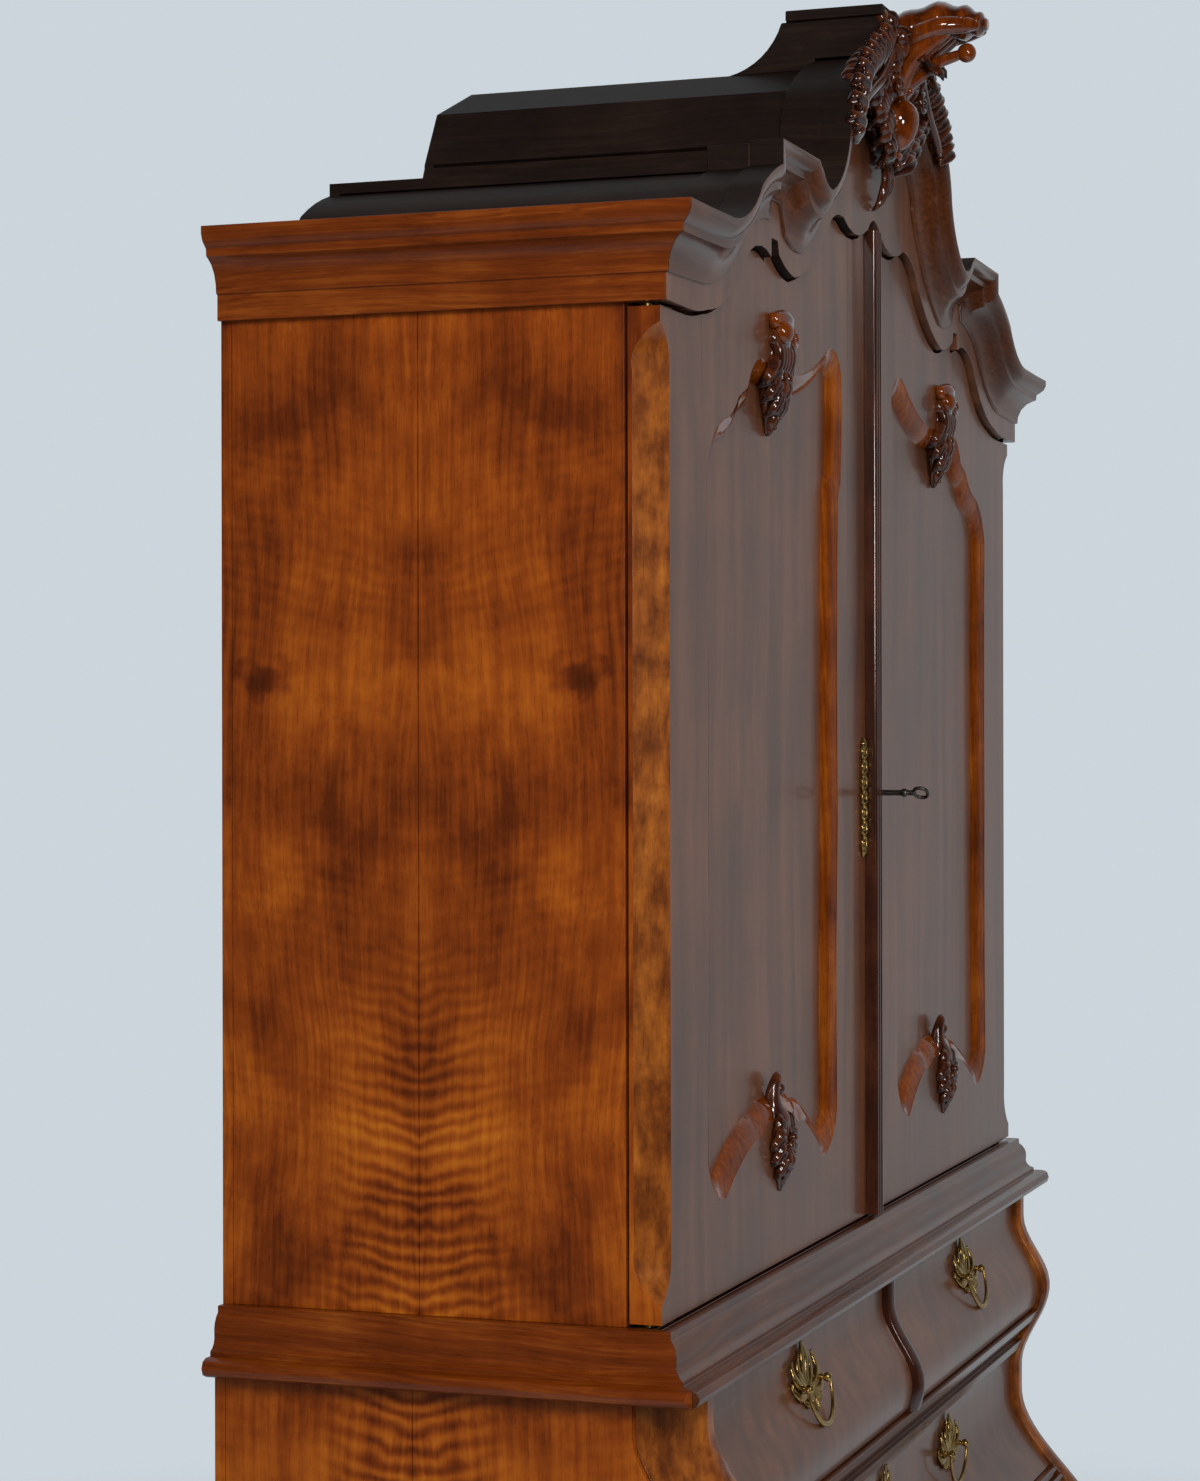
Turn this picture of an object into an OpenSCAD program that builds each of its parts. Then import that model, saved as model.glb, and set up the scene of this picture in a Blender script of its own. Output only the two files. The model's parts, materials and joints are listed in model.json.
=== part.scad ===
// Linen press: a two-door cupboard with a scrolled cornice, standing on a swelling chest of drawers.
// X runs across the front, the front faces -Y, and the floor is at Z = 0.

/* [Upper case] */
// Width of the upper case across its sides
upper_w = 1664; // [1580:4:1760]
// Height of a door at its hinge, from the waist to the cornice
door_h = 1041; // [960:1:1140]
// Depth from the door face to the back of the case
case_d = 490; // [440:5:560]
// Thickness of the case sides
side_t = 24; // [18:1:30]
// Thickness of the top, bottom and shelves
board_t = 20; // [15:1:25]
// Thickness of the back boards
back_t = 12; // [8:1:16]
// Number of shelves behind the doors
shelf_count = 3; // [2:1:4]

/* [Doors] */
// Thickness of the doors
door_t = 35; // [30:1:40]
// Gap above and below a door
door_gap = 4; // [3:0.5:6]
// Gap between a door and the case behind it
door_back_gap = 3.5; // [3:0.1:5]
// Gap where the two doors meet
meeting_gap = 3; // [2:0.5:5]
// Width of the canted outer corner of a door, on each face
chamfer_w = 30; // [20:1:31]
// Depth of the sunk panel behind the door face
panel_sink = 15; // [8:1:18]
// Width of the moulding round the sunk panel
panel_moulding_w = 26; // [16:1:28]
// Width of the reeded strip on the meeting edge
astragal_w = 30; // [22:1:40]
// Projection of the reeded strip
astragal_out = 16; // [8:1:20]

/* [Cornice] */
// Height of the plain band under the cornice moulding
fascia_h = 27; // [18:1:36]
// Projection of the plain band beyond the door face and the sides
fascia_out = 10; // [6:1:14]
// Height of the whole cornice at the sides
cornice_h = 95; // [80:1:110]
// Projection of the top of the cornice
cornice_out = 49; // [40:1:60]
// Thickness of the roof boards
roof_t = 12; // [8:1:16]
// Height of the top of the carved crest above the doors' hinge edge
crest_h = 474; // [450:1:500]
// Projection of the carved crest in front of the door face
crest_out = 150; // [120:1:170]
// Height of the block behind the carving, above the top of the arch
block_h = 46; // [36:1:60]

/* [Lower case] */
// Overhang of the lower case beyond the upper case on each side
lower_out = 20; // [12:1:28]
// Height of the waist moulding
waist_m = 70; // [60:1:80]
// Projection of the waist roll
waist_out = 53; // [44:1:62]
// Height of the top row of two short drawers
row1_h = 169; // [150:1:190]
// Height of the moulded rail under the top row
rail1_h = 59; // [40:1:70]
// Height of the middle drawer
row2_h = 168; // [150:1:190]
// Height of the thin rail under the middle drawer
rail2_h = 14; // [12:1:24]
// Height of the bottom drawer
row3_h = 170; // [150:1:190]
// Height of the shaped rail under the bottom drawer
apron_h = 85; // [60:1:110]
// Height of the base moulding
base_h = 40; // [30:1:50]
// Height of the turned feet
foot_h = 155; // [130:1:180]
// Largest radius of a foot
foot_r = 78; // [60:1:84]

/* [Serpentine front] */
// Reach of the upper neck in front of the door face
neck_out = 33; // [25:1:45]
// Reach of the upper belly
belly_out = 72; // [60:1:85]
// Reach of the lower neck
waist_neck_out = 30; // [22:1:40]
// Reach of the lower belly
lower_belly_out = 152; // [130:1:165]
// Reach at the base
ankle_out = 95; // [80:1:110]
// Depth from the front to the side of the canted corner
cant_d = 55; // [45:1:65]
// Width of the canted corner with its raised bead
post_w = 96; // [85:1:110]
// How far the beads stand in front of the drawers
bead_out = 12; // [8:1:16]
// Width of the bead between the short drawers
muntin_w = 30; // [24:1:40]

/* [Drawers] */
// Gap round a drawer front
drawer_gap = 1.5; // [1:0.1:3]
// Thickness of the drawer sides and back
drawer_side_t = 12; // [8:1:16]
// Thickness of the drawer bottoms
drawer_bottom_t = 8; // [6:1:12]
// Distance that a drawer pulls out
drawer_travel = 330; // [250:5:350]
// Height of the guides beside the drawers
guide_h = 25; // [15:1:40]

/* [Brass and lock] */
// Distance from the middle to each handle on the short drawers
short_handle_x = 403; // [360:1:430]
// Distance from the middle to each handle on the long drawers
long_handle_x = 340; // [300:1:430]
// Distance from a handle's middle to its posts
post_x = 38; // [32:1:44]
// Radius of the swinging bail's wire
bail_r = 2.8; // [2.2:0.1:3.4]
// Reach of the posts in front of the back plate
post_reach = 16; // [13:1:22]
// Thickness of the brass plates
plate_t = 2.5; // [1.5:0.1:4]
// Height of the keyhole above the waist
key_z = 530; // [480:1:580]
// Radius of the key's shank
key_r = 4; // [3:0.1:5]
// Reach of the key in front of the door face
key_out = 74; // [60:1:90]
// Travel of the lock bolt
bolt_travel = 12; // [8:1:16]
// Running clearance of pins in their holes
fit = 0.05; // [0.02:0.01:0.1]

/* [Hidden] */
$fn = 48;

// Heights below the waist where each row starts
z_row1 = waist_m;
z_rail1 = z_row1 + row1_h;
z_row2 = z_rail1 + rail1_h;
z_rail2 = z_row2 + row2_h;
z_row3 = z_rail2 + rail2_h;
z_apron = z_row3 + row3_h;
z_base = z_apron + apron_h;
waist_z = z_base + base_h + foot_h;

half_w = upper_w / 2;
lower_x = half_w + lower_out;
open_x = lower_x - post_w;
front_y = door_t + door_back_gap;
back_y = case_d - back_t;
inner_x = half_w - side_t;
wrap = 0.01;

// The reach of the serpentine front is eased between these depths below the waist
SWELL = [
  [z_row1 + 35, neck_out], [z_row1 + 135, belly_out],
  [z_row2 + 27, waist_neck_out], [z_row2 + 62, waist_neck_out],
  [z_row3 + 95, lower_belly_out], [z_base, ankle_out]];

function ease(a, b, t) = a + (b - a) * (1 - cos(180 * max(0, min(1, t)))) / 2;
// Y of the serpentine front at depth d below the waist
function swell(d, i = 0) =
  i < len(SWELL) - 2 && d > SWELL[i + 1][0] ? swell(d, i + 1)
  : -ease(SWELL[i][1], SWELL[i + 1][1], (d - SWELL[i][0]) / (SWELL[i + 1][0] - SWELL[i][0]));
// The serpentine line between two depths, as [y, z] points moved back by inset
function front_line(d0, d1, inset, step = 12) =
  let (n = ceil((d1 - d0) / step))
  [for (i = [0:n]) let (d = d0 + (d1 - d0) * i / n) [swell(d) + inset, -d]];

// Points of the arc from p towards q that stands b to the left of the straight line
function arc(p, q, b, n) =
  b == 0 ? [for (i = [0:n - 1]) p + (q - p) * i / n]
  : let (c = norm(q - p), u = (q - p) / c, v = [-u[1], u[0]], s = sign(b),
         h = 2 * atan(2 * abs(b) / c), r = c / (2 * sin(h)))
    [for (i = [0:n - 1]) let (a = -h + 2 * h * i / n)
      (p + q) / 2 + u * r * sin(a) + v * s * r * (cos(a) - cos(h))];
// Points along a list of [x, y, bulge of the stretch that follows]
function run(k, n) = concat(
  [for (i = [0:len(k) - 2]) each arc([k[i][0], k[i][1]], [k[i + 1][0], k[i + 1][1]], k[i][2], n)],
  [[k[len(k) - 1][0], k[len(k) - 1][1]]]);
function reversed(p) = [for (i = [len(p) - 1:-1:0]) p[i]];
function mirrored(p) = [for (q = reversed(p)) [-q[0], q[1]]];
// A line given from the middle outwards, carried across both halves
function both(p) = concat(mirrored([for (i = [1:len(p) - 1]) p[i]]), p);

// Lower edge of the frieze, from the middle outwards, as rises above the hinge edge of the doors
SCALLOP = [
  [0, 205, 3], [30, 190, -14], [150, 187, 10], [225, 158, -12], [365, 85, -4], [431, 102, 0],
  [436, 117, 0], [461, 117, 0], [461, 95, 14], [560, 80, -2], [612, 36, -5], [700, 7, -2],
  [765, 0, 0], [half_w, 0, 0]];
// Foot of the cornice moulding and its top outline, station by station
CORNICE_FOOT = [
  [0, 325, 14], [165, 285, 6], [190, 240, -14], [345, 115, -5], [415, 125, 0], [436, 158, 0],
  [470, 158, 0], [472, 135, 12], [590, 88, -10], [715, fascia_h + 4, 0], [half_w, fascia_h, 0]];
CORNICE_TOP = [
  [0, 405, 18], [225, 335, 8], [262, 265, -13], [340, 188, -5], [380, 202, 0], [398, 213, 0],
  [549, 211, 0], [549, 183, 3], [628, 148, -12], [731, cornice_h + 2, 0], [half_w, cornice_h, 0]];
// Cornice section: share of the way from foot to top, and share of the projection
CORNICE_SECTION = [
  [0, 0], [0.02, 0.08], [0.16, 0.1], [0.32, 0.2], [0.45, 0.38], [0.53, 0.6],
  [0.55, 0.68], [0.67, 0.7], [0.7, 0.78], [0.78, 0.93], [0.88, 1], [1, 1]];
cornice_n = 6;

// Sunk panel outline on a door, from the middle of the press outwards, clockwise from bottom inner
panel_out_x = half_w - 157;
PANEL = [
  [150, 150, -5], [144, 500, -4], [141, door_h - 148, 0], [130, door_h - 133, 3],
  [124, door_h - 1, 17], [196, door_h + 20, -8], [340, door_h - 24, 0], [470, door_h - 18, 8],
  [522, door_h - 56, 0], [556, door_h - 69, -5], [605, door_h - 97, 14],
  [panel_out_x, door_h - 161, -3], [panel_out_x - 3, 500, -3], [panel_out_x, 150, 14],
  [610, 103, -5], [500, 152, 5], [450, 167, 0], [348, 166, 5], [305, 155, -5], [215, 101, 12],
  [150, 150, 0]];
panel_n = 5;
stile_in_x = 96;
stile_out_x = half_w - 139;
// Rebate that holds the panel from behind
REBATE = [
  [stile_in_x + 8, 60], [stile_out_x - 7, 60], [stile_out_x - 7, door_h - 100], [640, door_h - 75],
  [575, door_h - 48], [530, door_h - 5], [330, door_h - 5], [250, door_h + 25],
  [stile_in_x + 8, door_h + 44]];

// Knife hinges of the doors
hinge_x = half_w - 10;
hinge_y = door_t / 2 + 0.5;
hinge_r = 3;
hinge_t = 3;
leaf_l = 60;
leaf_w = 22;

// Drawer rows: depth of the opening's top, height, plane behind the front, lean of the bails
ROWS = [
  [z_row1, row1_h, 10, 14],
  [z_row2, row2_h, 10, 0],
  [z_row3, row3_h, -70, 0]];
handle_drop = 61;
bail_w = post_x + 8;
long_open = [-open_x, open_x];
left_open = [-open_x, -muntin_w / 2];
right_open = [muntin_w / 2, open_x];
box_end = back_y - 20;
// Y of a drawer's face, of the bail pins and of the foremost brass
function face_y(d) = swell(d) + bead_out;
function pin_y(row) = face_y(ROWS[row][0] + handle_drop) - plate_t - post_reach;
knob_r = 5.5;
front_reach = min(pin_y(2) - knob_r, -crest_out);
mid_y = (front_reach + case_d) / 2;

// Lays the work on the floor, with its middle over the origin
module placed(z = 0) { translate([0, -mid_y, z]) children(); }
module at_waist() { placed(waist_z) children(); }
// Extrusions of a [y, z] outline along X and of an [x, z] outline along Y
module along_x(x0, x1) { translate([x0, 0, 0]) rotate([90, 0, 90]) linear_extrude(x1 - x0) children(); }
module along_y(y0, y1) { translate([0, y1, 0]) rotate([90, 0, 0]) linear_extrude(y1 - y0) children(); }
module pair() { children(); mirror([1, 0, 0]) children(); }
module box(x, y, z) { translate([x[0], y[0], z[0]]) cube([x[1] - x[0], y[1] - y[0], z[1] - z[0]]); }
// Closed solid through rings of points, capped at both ends; looking back from the last ring,
// the points of each ring run clockwise
module skin(rings) {
  n = len(rings[0]);
  m = len(rings);
  polyhedron(
    [for (r = rings) each r],
    concat(
      [[for (i = [n - 1:-1:0]) i]],
      [for (j = [0:m - 2]) for (i = [0:n - 1])
        [j * n + i, j * n + (i + 1) % n, (j + 1) * n + (i + 1) % n, (j + 1) * n + i]],
      [[for (i = [0:n - 1]) (m - 1) * n + i]]),
    convexity = 8);
}
// Space beside (1) or ahead of (-1) the 45 degree mitre plane at the corner of the upper case
module mitre_space(side) {
  translate([half_w, 0, -500]) rotate([0, 0, 45]) translate([side > 0 ? 0 : -500, -500, 0])
    cube([500, 1000, 2500]);
}

walnut = "#a5581f";
dark_stain = "#32231b";
burr = "#8a4b1c";
polish = "#6b3a22";
oak = "#b98a55";
brass_c = "#a8893f";
steel_c = "#4c4845";

// Lower case

module lower_side() {
  // The outer skin stops short of the corner post, which leaves a shadow groove
  groove_w = 4;
  for (s = [[lower_x - side_t, lower_x - groove_w, 0], [lower_x - groove_w - wrap, lower_x, groove_w]])
    along_x(s[0], s[1]) polygon(concat(
      front_line(z_row1, z_base, cant_d + s[2]),
      [[back_y, -z_base], [back_y, -z_row1]]));
}
module lower_sides() { color(walnut) at_waist() pair() lower_side(); }

// Plan of a corner post, as [x, reach behind the serpentine line]
POST = [
  [lower_x, cant_d], [lower_x - post_w + 34, 4], [lower_x - post_w + 28, 0],
  [lower_x - post_w + 7, 0], [lower_x - post_w, 5], [lower_x - post_w, cant_d]];
module corner_posts() {
  n = ceil((z_base - z_row1) / 12);
  color(burr) at_waist() pair() skin(
    [for (i = [0:n]) let (d = z_base + (z_row1 - z_base) * i / n)
      [for (p = POST) [p[0], p[1] + swell(d), -d]]]);
}

module lower_back() {
  color(dark_stain) at_waist() for (i = [-1:1])
    box([(2 * i - 1) * lower_x / 3, (2 * i + 1) * lower_x / 3] + [1, -1] * wrap,
        [back_y, case_d], [-z_base, -z_row1]);
}

module lower_top() {
  rail_t = 30;
  color(oak) at_waist() {
    difference() {
      box([-half_w, half_w], [0, back_y], [-board_t, 0]);
      // Pockets for the lower knife hinges
      pair() hinge_leaf(1 - hinge_t, hinge_t + 1);
    }
    box([-half_w, half_w], [0, rail_t], [-waist_m, -board_t]);
    pair() box([half_w - rail_t, half_w], [rail_t, back_y], [-waist_m, -board_t]);
    box([-muntin_w, muntin_w], [rail_t, back_y], [-waist_m, -board_t]);
    box([-half_w, half_w], [back_y - rail_t, case_d], [-waist_m, 0]);
  }
}

// A rail between drawers: a bead at each edge with a hollow between them
module moulded_rail(d, h, bead) {
  rail_back = 20;
  along_x(-open_x, open_x) polygon(concat(
    front_line(d, d + bead, bead_out / 3, 4),
    front_line(d + bead, d + h - bead, bead_out, 8),
    front_line(d + h - bead, d + h, bead_out / 3, 4),
    [[rail_back, -d - h], [rail_back, -d]]));
}
module drawer_rails() {
  color(polish) at_waist() {
    moulded_rail(z_rail1, rail1_h, 16);
    moulded_rail(z_rail2, rail2_h, 4);
  }
}

// A half-round bead that follows the serpentine front between the short drawers
module drawer_muntin() {
  n = 15;
  w = muntin_w / 2;
  color(walnut) at_waist() skin(
    [for (i = [0:n]) let (d = z_rail1 + (z_row1 - z_rail1) * i / n)
      concat(
        [for (a = [0:30:180]) [w * cos(a), swell(d) + bead_out * (1 - sin(a)), -d]],
        [[-w, 20, -d], [w, 20, -d]])]);
}

module dust_boards() {
  color(oak) at_waist() for (d = [z_rail1, z_rail2])
    box([-lower_x + side_t, lower_x - side_t], [20, back_y], [-d - rail2_h, -d]);
}

module drawer_guides() {
  color(oak) at_waist() {
    for (d = [z_rail1, z_rail2, z_apron])
      pair() box([open_x + 1, open_x + 41], [20, box_end], [-d, -d + guide_h]);
    box([-muntin_w / 2 + 1, muntin_w / 2 - 1], [20, box_end], [-z_rail1, -z_rail1 + guide_h]);
  }
}

apron_back = -60;
module apron() {
  color(polish) at_waist() along_x(-open_x, open_x) polygon(concat(
    front_line(z_apron, z_base, bead_out / 2),
    [[apron_back, -z_base], [apron_back, -z_apron]]));
}

module lower_bottom() {
  color(oak) at_waist()
    box([-lower_x + side_t, lower_x - side_t], [apron_back, back_y], [-z_apron - board_t, -z_apron]);
}

// Plan of the base, moved outwards by o
function base_plan(o) = [
  [lower_x + o, case_d], [lower_x + o, cant_d - ankle_out - o * 0.4],
  [open_x + 30 + o * 0.4, -ankle_out - o], [-open_x - 30 - o * 0.4, -ankle_out - o],
  [-lower_x - o, cant_d - ankle_out - o * 0.4], [-lower_x - o, case_d]];
// Base moulding section as [rise, overhang]
BASE_SECTION = [[0, 14], [0.35, 14], [0.45, 12], [0.62, 11], [0.78, 7], [0.88, 1], [1, 0]];
module base_moulding() {
  color(walnut) placed(foot_h) skin(
    [for (s = BASE_SECTION) [for (p = base_plan(s[1])) [p[0], p[1], s[0] * base_h]]]);
}

// Turned foot, as [radius, height, bulge]
FOOT = [
  [0, 0, 0], [foot_r * 0.6, 0, -2], [foot_r * 0.68, 12, 0], [foot_r * 0.6, 20, -foot_r * 0.4],
  [foot_r * 0.5, foot_h - 38, 3], [foot_r * 0.62, foot_h - 24, 0], [foot_r * 0.9, foot_h - 16, -3],
  [foot_r * 0.9, foot_h, 0], [0, foot_h, 0]];
module feet() {
  inset = foot_r + 10;
  color(walnut) placed() for (x = [-1, 1] * (lower_x - inset), y = [inset - ankle_out, case_d - inset])
    translate([x, y, 0]) rotate_extrude() polygon(run(FOOT, 5));
}

// Waist moulding section as [projection, height], starting at the wall
WAIST = [
  [0, -waist_m, 0], [waist_out - 10, -waist_m, -9.9], [waist_out - 10, -waist_m + 20, 0],
  [waist_out * 0.6, -waist_m + 20, 0], [waist_out * 0.6, -waist_m + 25, 4],
  [waist_out * 0.42, -waist_m * 0.4, -3], [waist_out * 0.25, -7, 0], [waist_out * 0.25, 0, 0], [0, 0, 0]];
// Small slanting nose where the roll turns the corner
module nosed() {
  nose = 9;
  difference() {
    children();
    pair() translate([half_w + waist_out, -waist_out, -200]) rotate([0, 0, 45])
      translate([-60, -60, 0]) cube([120, 60 + nose, 400]);
  }
}
module waist_profile() { polygon(run(WAIST, 4)); }
module waist_front() {
  color(walnut) at_waist() nosed() difference() {
    mirror([0, 1, 0]) along_x(-half_w - waist_out - 1, half_w + waist_out + 1) waist_profile();
    pair() mitre_space(1);
  }
}
module waist_sides() {
  color(walnut) at_waist() nosed() pair() difference() {
    translate([half_w, 0, 0]) along_y(-waist_out - 1, case_d) waist_profile();
    mitre_space(-1);
  }
}

// Upper case

module upper_sides() {
  color(walnut) at_waist() pair()
    box([inner_x, half_w], [front_y, back_y], [0, door_h + cornice_h - roof_t - roof_drop]);
}
module upper_bottom() {
  color(oak) at_waist() box([-inner_x, inner_x], [front_y, back_y], [0, board_t]);
}
top_rise = 15;
module upper_top() {
  color(oak) at_waist()
    box([-inner_x, inner_x], [front_y, back_y], [door_h + top_rise, door_h + top_rise + board_t]);
}
module upper_back() {
  color(dark_stain) at_waist() for (i = [-1:1])
    box([(2 * i - 1) * half_w / 3, (2 * i + 1) * half_w / 3] + [1, -1] * wrap,
        [back_y, case_d], [0, door_h + cornice_h - roof_t]);
}

shelf_front = 75;
// Height of the underside of shelf i, counted from 1
function shelf_z(i) = board_t + i * (door_h + top_rise - board_t) / (shelf_count + 1);
module shelves() {
  color(oak) at_waist() for (i = [1:shelf_count])
    box([-inner_x + 1, inner_x - 1], [shelf_front, back_y - 1], [shelf_z(i), shelf_z(i) + board_t]);
}
cleat = 20;
module shelf_cleats() {
  color(oak) at_waist() for (i = [1:shelf_count]) pair()
    box([inner_x - cleat, inner_x], [shelf_front + 5, back_y - 10], [shelf_z(i) - cleat, shelf_z(i)]);
}

// The frieze, from its scalloped lower edge up to just under the cornice outline
module frieze_outline() {
  under = 3;
  polygon(concat(
    both([for (p = run(SCALLOP, 5)) p + [0, door_h]]),
    reversed(both([for (p = run(CORNICE_TOP, cornice_n)) p + [0, door_h - under]]))));
}
module frieze() {
  color(polish) at_waist() difference() {
    union() {
      along_y(-fascia_out, front_y) frieze_outline();
      // Corners that meet the side cornices on the mitre
      pair() translate([0, 0, door_h]) linear_extrude(cornice_h - 3) polygon([
        [half_w - 5, 0], [half_w - 5, -fascia_out], [half_w + fascia_out, -fascia_out], [half_w, 0]]);
    }
    // Pockets for the upper knife hinges
    pair() hinge_leaf(door_h - 1, hinge_t + 1);
  }
}

// Closes the arch behind the doors, above the top of the cupboard
module tympanum() {
  behind = 30;
  reach = 600;
  foot = door_h + top_rise + board_t;
  color(oak) at_waist() intersection() {
    along_y(front_y, front_y + board_t)
      polygon(concat([for (p = both(run(SCALLOP, 5))) p + [0, door_h + behind]],
                     [[half_w, door_h], [-half_w, door_h]]));
    box([-reach, reach], [0, case_d], [foot, foot + crest_h]);
  }
}

// One station of the front cornice, between its foot f and its top t
function station(f, t, end) = concat(
  [for (s = CORNICE_SECTION)
    let (p = f + (t - f) * s[0], y = -fascia_out - (cornice_out - fascia_out) * s[1])
    [p[0] + (end ? sign(p[0]) * -y : 0), y, p[1] + door_h]],
  [[t[0] + (end ? sign(t[0]) * fascia_out : 0), -fascia_out, t[1] + door_h]]);
module cornice_front() {
  foot = both(run(CORNICE_FOOT, cornice_n));
  top = both(run(CORNICE_TOP, cornice_n));
  last = len(foot) - 1;
  color(polish) at_waist() skin(
    [for (i = [0:last]) station(foot[i], top[i], i == 0 || i == last)]);
}

// Side cornice section as [projection, rise], down to the plain band
module side_section() {
  polygon(concat(
    [[0, 0], [fascia_out, 0]],
    [for (s = CORNICE_SECTION)
      [fascia_out + (cornice_out - fascia_out) * s[1], fascia_h + (cornice_h - fascia_h) * s[0]]],
    [[0, cornice_h]]));
}
module cornice_sides() {
  color(walnut) at_waist() pair() difference() {
    translate([half_w, 0, door_h]) along_y(-cornice_out - 1, case_d) side_section();
    mitre_space(-1);
  }
}

// A board of thickness t under a run of points
function strip(p, t) =
  let (m = len(p) - 1)
  concat(p, [for (i = [m:-1:0])
    let (d = p[min(i + 1, m)] - p[max(i - 1, 0)], n = [-d[1], d[0]] / norm(d)) p[i] - n * t * sign(d[0])]);
// Lines of the roof boards on one side, from the outside inwards, just under the cornice outline
roof_drop = 4;
roof_arch_z = 377;
block_half = 105;
ROOF = [
  [[731, cornice_h - roof_drop, 12], [628, 143, -3], [549, 178, 0]],
  [[549, 192, 0], [398, 207, 0]],
  [[398, 205, 0], [380, 197, 5], [340, 183, 13], [263, 257, 0]],
  [[263, 261, 0], [222, 330, 0], [block_half, roof_arch_z, 0]]];
module roof_boards() {
  color(dark_stain) at_waist() {
    translate([0, 0, door_h]) {
      pair() {
        box([ROOF[0][0][0] + wrap, half_w], [front_y, back_y - wrap],
            [cornice_h - roof_t, cornice_h] - [1, 1] * roof_drop);
        for (k = ROOF) along_y(front_y, back_y - wrap) polygon(strip(run(k, 4), roof_t));
      }
      box([-1, 1] * (block_half - wrap), [front_y, back_y - wrap], [roof_arch_z - roof_t, roof_arch_z]);
      // Back of the roof space
      along_y(back_y, case_d) polygon(concat(
        both(concat([[0, roof_arch_z]], reversed([for (k = ROOF) each run(k, 4)]), [[half_w, cornice_h - roof_drop]])),
        [[half_w, cornice_h - roof_t], [-half_w, cornice_h - roof_t]]));
    }
  }
}

// Block behind the carving: a flat top that sweeps down to the roof, standing on the arch in front
module crest_block() {
  seat = 0.2;
  lip_t = 13;
  lip_out = 6;
  lip_end = 74;
  neck_y = 81;
  foot_y = 149;
  sweep = 12.5;
  top = CORNICE_TOP[0][1] + block_h;
  foot = roof_arch_z + seat;
  color(dark_stain) at_waist() translate([0, 0, door_h]) {
    difference() {
      along_x(-block_half, block_half) polygon(concat(
        [[-cornice_out, foot]], arc([foot_y, foot], [neck_y, top - lip_t], sweep, 8),
        [[neck_y, top - lip_t], [-cornice_out, top - lip_t]]));
      along_y(-2 * cornice_out, front_y) polygon(concat(
        [for (p = both(run(CORNICE_TOP, cornice_n))) p + [0, seat]], [[half_w, 0], [-half_w, 0]]));
    }
    box([-block_half - lip_out, block_half + lip_out], [-cornice_out, lip_end], [top - lip_t, top]);
  }
}

// Carved crest: a shell over two leafy scrolls, with a spray that hangs down the frieze

// A ball with a facet on top, so that its top lies r above the middle
module knob(r) { scale(1 / cos(90 / 7)) sphere(r = r, $fn = 14); }
// Rounded run through a list of [x, y, z, radius]
module scroll(list) {
  for (i = [0:len(list) - 2]) hull() for (p = [list[i], list[i + 1]])
    translate([p[0], p[1], p[2]]) sphere(r = p[3], $fn = 10);
}
// Shell, as [x, distance behind the foremost point, depth below the top, radius]
SHELL = [[0, 56, 42, 42], [30, 35, 69, 34], [-40, 70, 75, 40]];
// Leaves along the arch, as [x, distance in front of the cornice, height over the hinge edge, radius]
LEAVES = [[40, 20, 412, 26], [120, 16, 396, 24], [185, 12, 362, 19], [240, 10, 312, 12]];
// Hanging spray, as [x, distance in front of the frieze, drop below the cornice's foot, radius]
SPRAY = [[0, 20, 30, 34], [-10, 16, 62, 24], [-5, 4, 97, 8]];
module crest_carving() {
  clear = 0.3;
  foot_z = CORNICE_FOOT[0][1];
  reach = 2 * crest_out;
  color(polish) at_waist() translate([0, 0, door_h]) {
    difference() {
      union() {
        hull() {
          for (p = SHELL) translate([p[0], p[1] - crest_out, crest_h - p[2]]) knob(p[3]);
          translate([0, -cornice_out - 20, foot_z]) knob(30);
        }
        for (s = [-1, 1]) scroll([for (p = LEAVES) [s * p[0], -cornice_out - p[1], p[2], p[3]]]);
      }
      box([-reach, reach], [-cornice_out - clear, reach], [0, 2 * crest_h]);
    }
    difference() {
      hull() for (p = SPRAY) translate([p[0], -fascia_out - p[1], foot_z - p[2]]) knob(p[3]);
      box([-reach, reach], [-fascia_out - clear, reach], [0, 2 * crest_h]);
    }
  }
}

// Knife hinge leaves, let into the door edges and the case above and below

// Leaf lying along the door edge, from height z upwards by t
module hinge_leaf(z, t) {
  box([hinge_x - leaf_l + 8, hinge_x + 8], [hinge_y - leaf_w / 2, hinge_y + leaf_w / 2], [z, z + t]);
}
module case_leaf(z, pin_z, collar_z) {
  hinge_leaf(z, hinge_t);
  translate([hinge_x, hinge_y, min(pin_z)]) cylinder(r = hinge_r, h = abs(pin_z[1] - pin_z[0]));
  translate([hinge_x, hinge_y, min(collar_z)]) cylinder(r = 2 * hinge_r, h = abs(collar_z[1] - collar_z[0]));
}
pin_l = 16;
top_leaf_z = door_h - 1;
door_top_z = door_h - door_gap;
module case_hinge_leaves() {
  color(brass_c) at_waist() pair() {
    case_leaf(top_leaf_z, [door_top_z - pin_l, top_leaf_z + 1], [door_top_z + fit, top_leaf_z + 1]);
    case_leaf(1 - hinge_t, [0, door_gap + pin_l], [0, door_gap - fit]);
  }
}
module door_leaves() {
  for (z = [door_gap, door_top_z - hinge_t]) difference() {
    hinge_leaf(z, hinge_t);
    translate([hinge_x, hinge_y, z - 1]) cylinder(r = hinge_r + fit, h = hinge_t + 2);
  }
}

// Doors, drawn for the side X > 0 with the meeting edge at x_in

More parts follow.
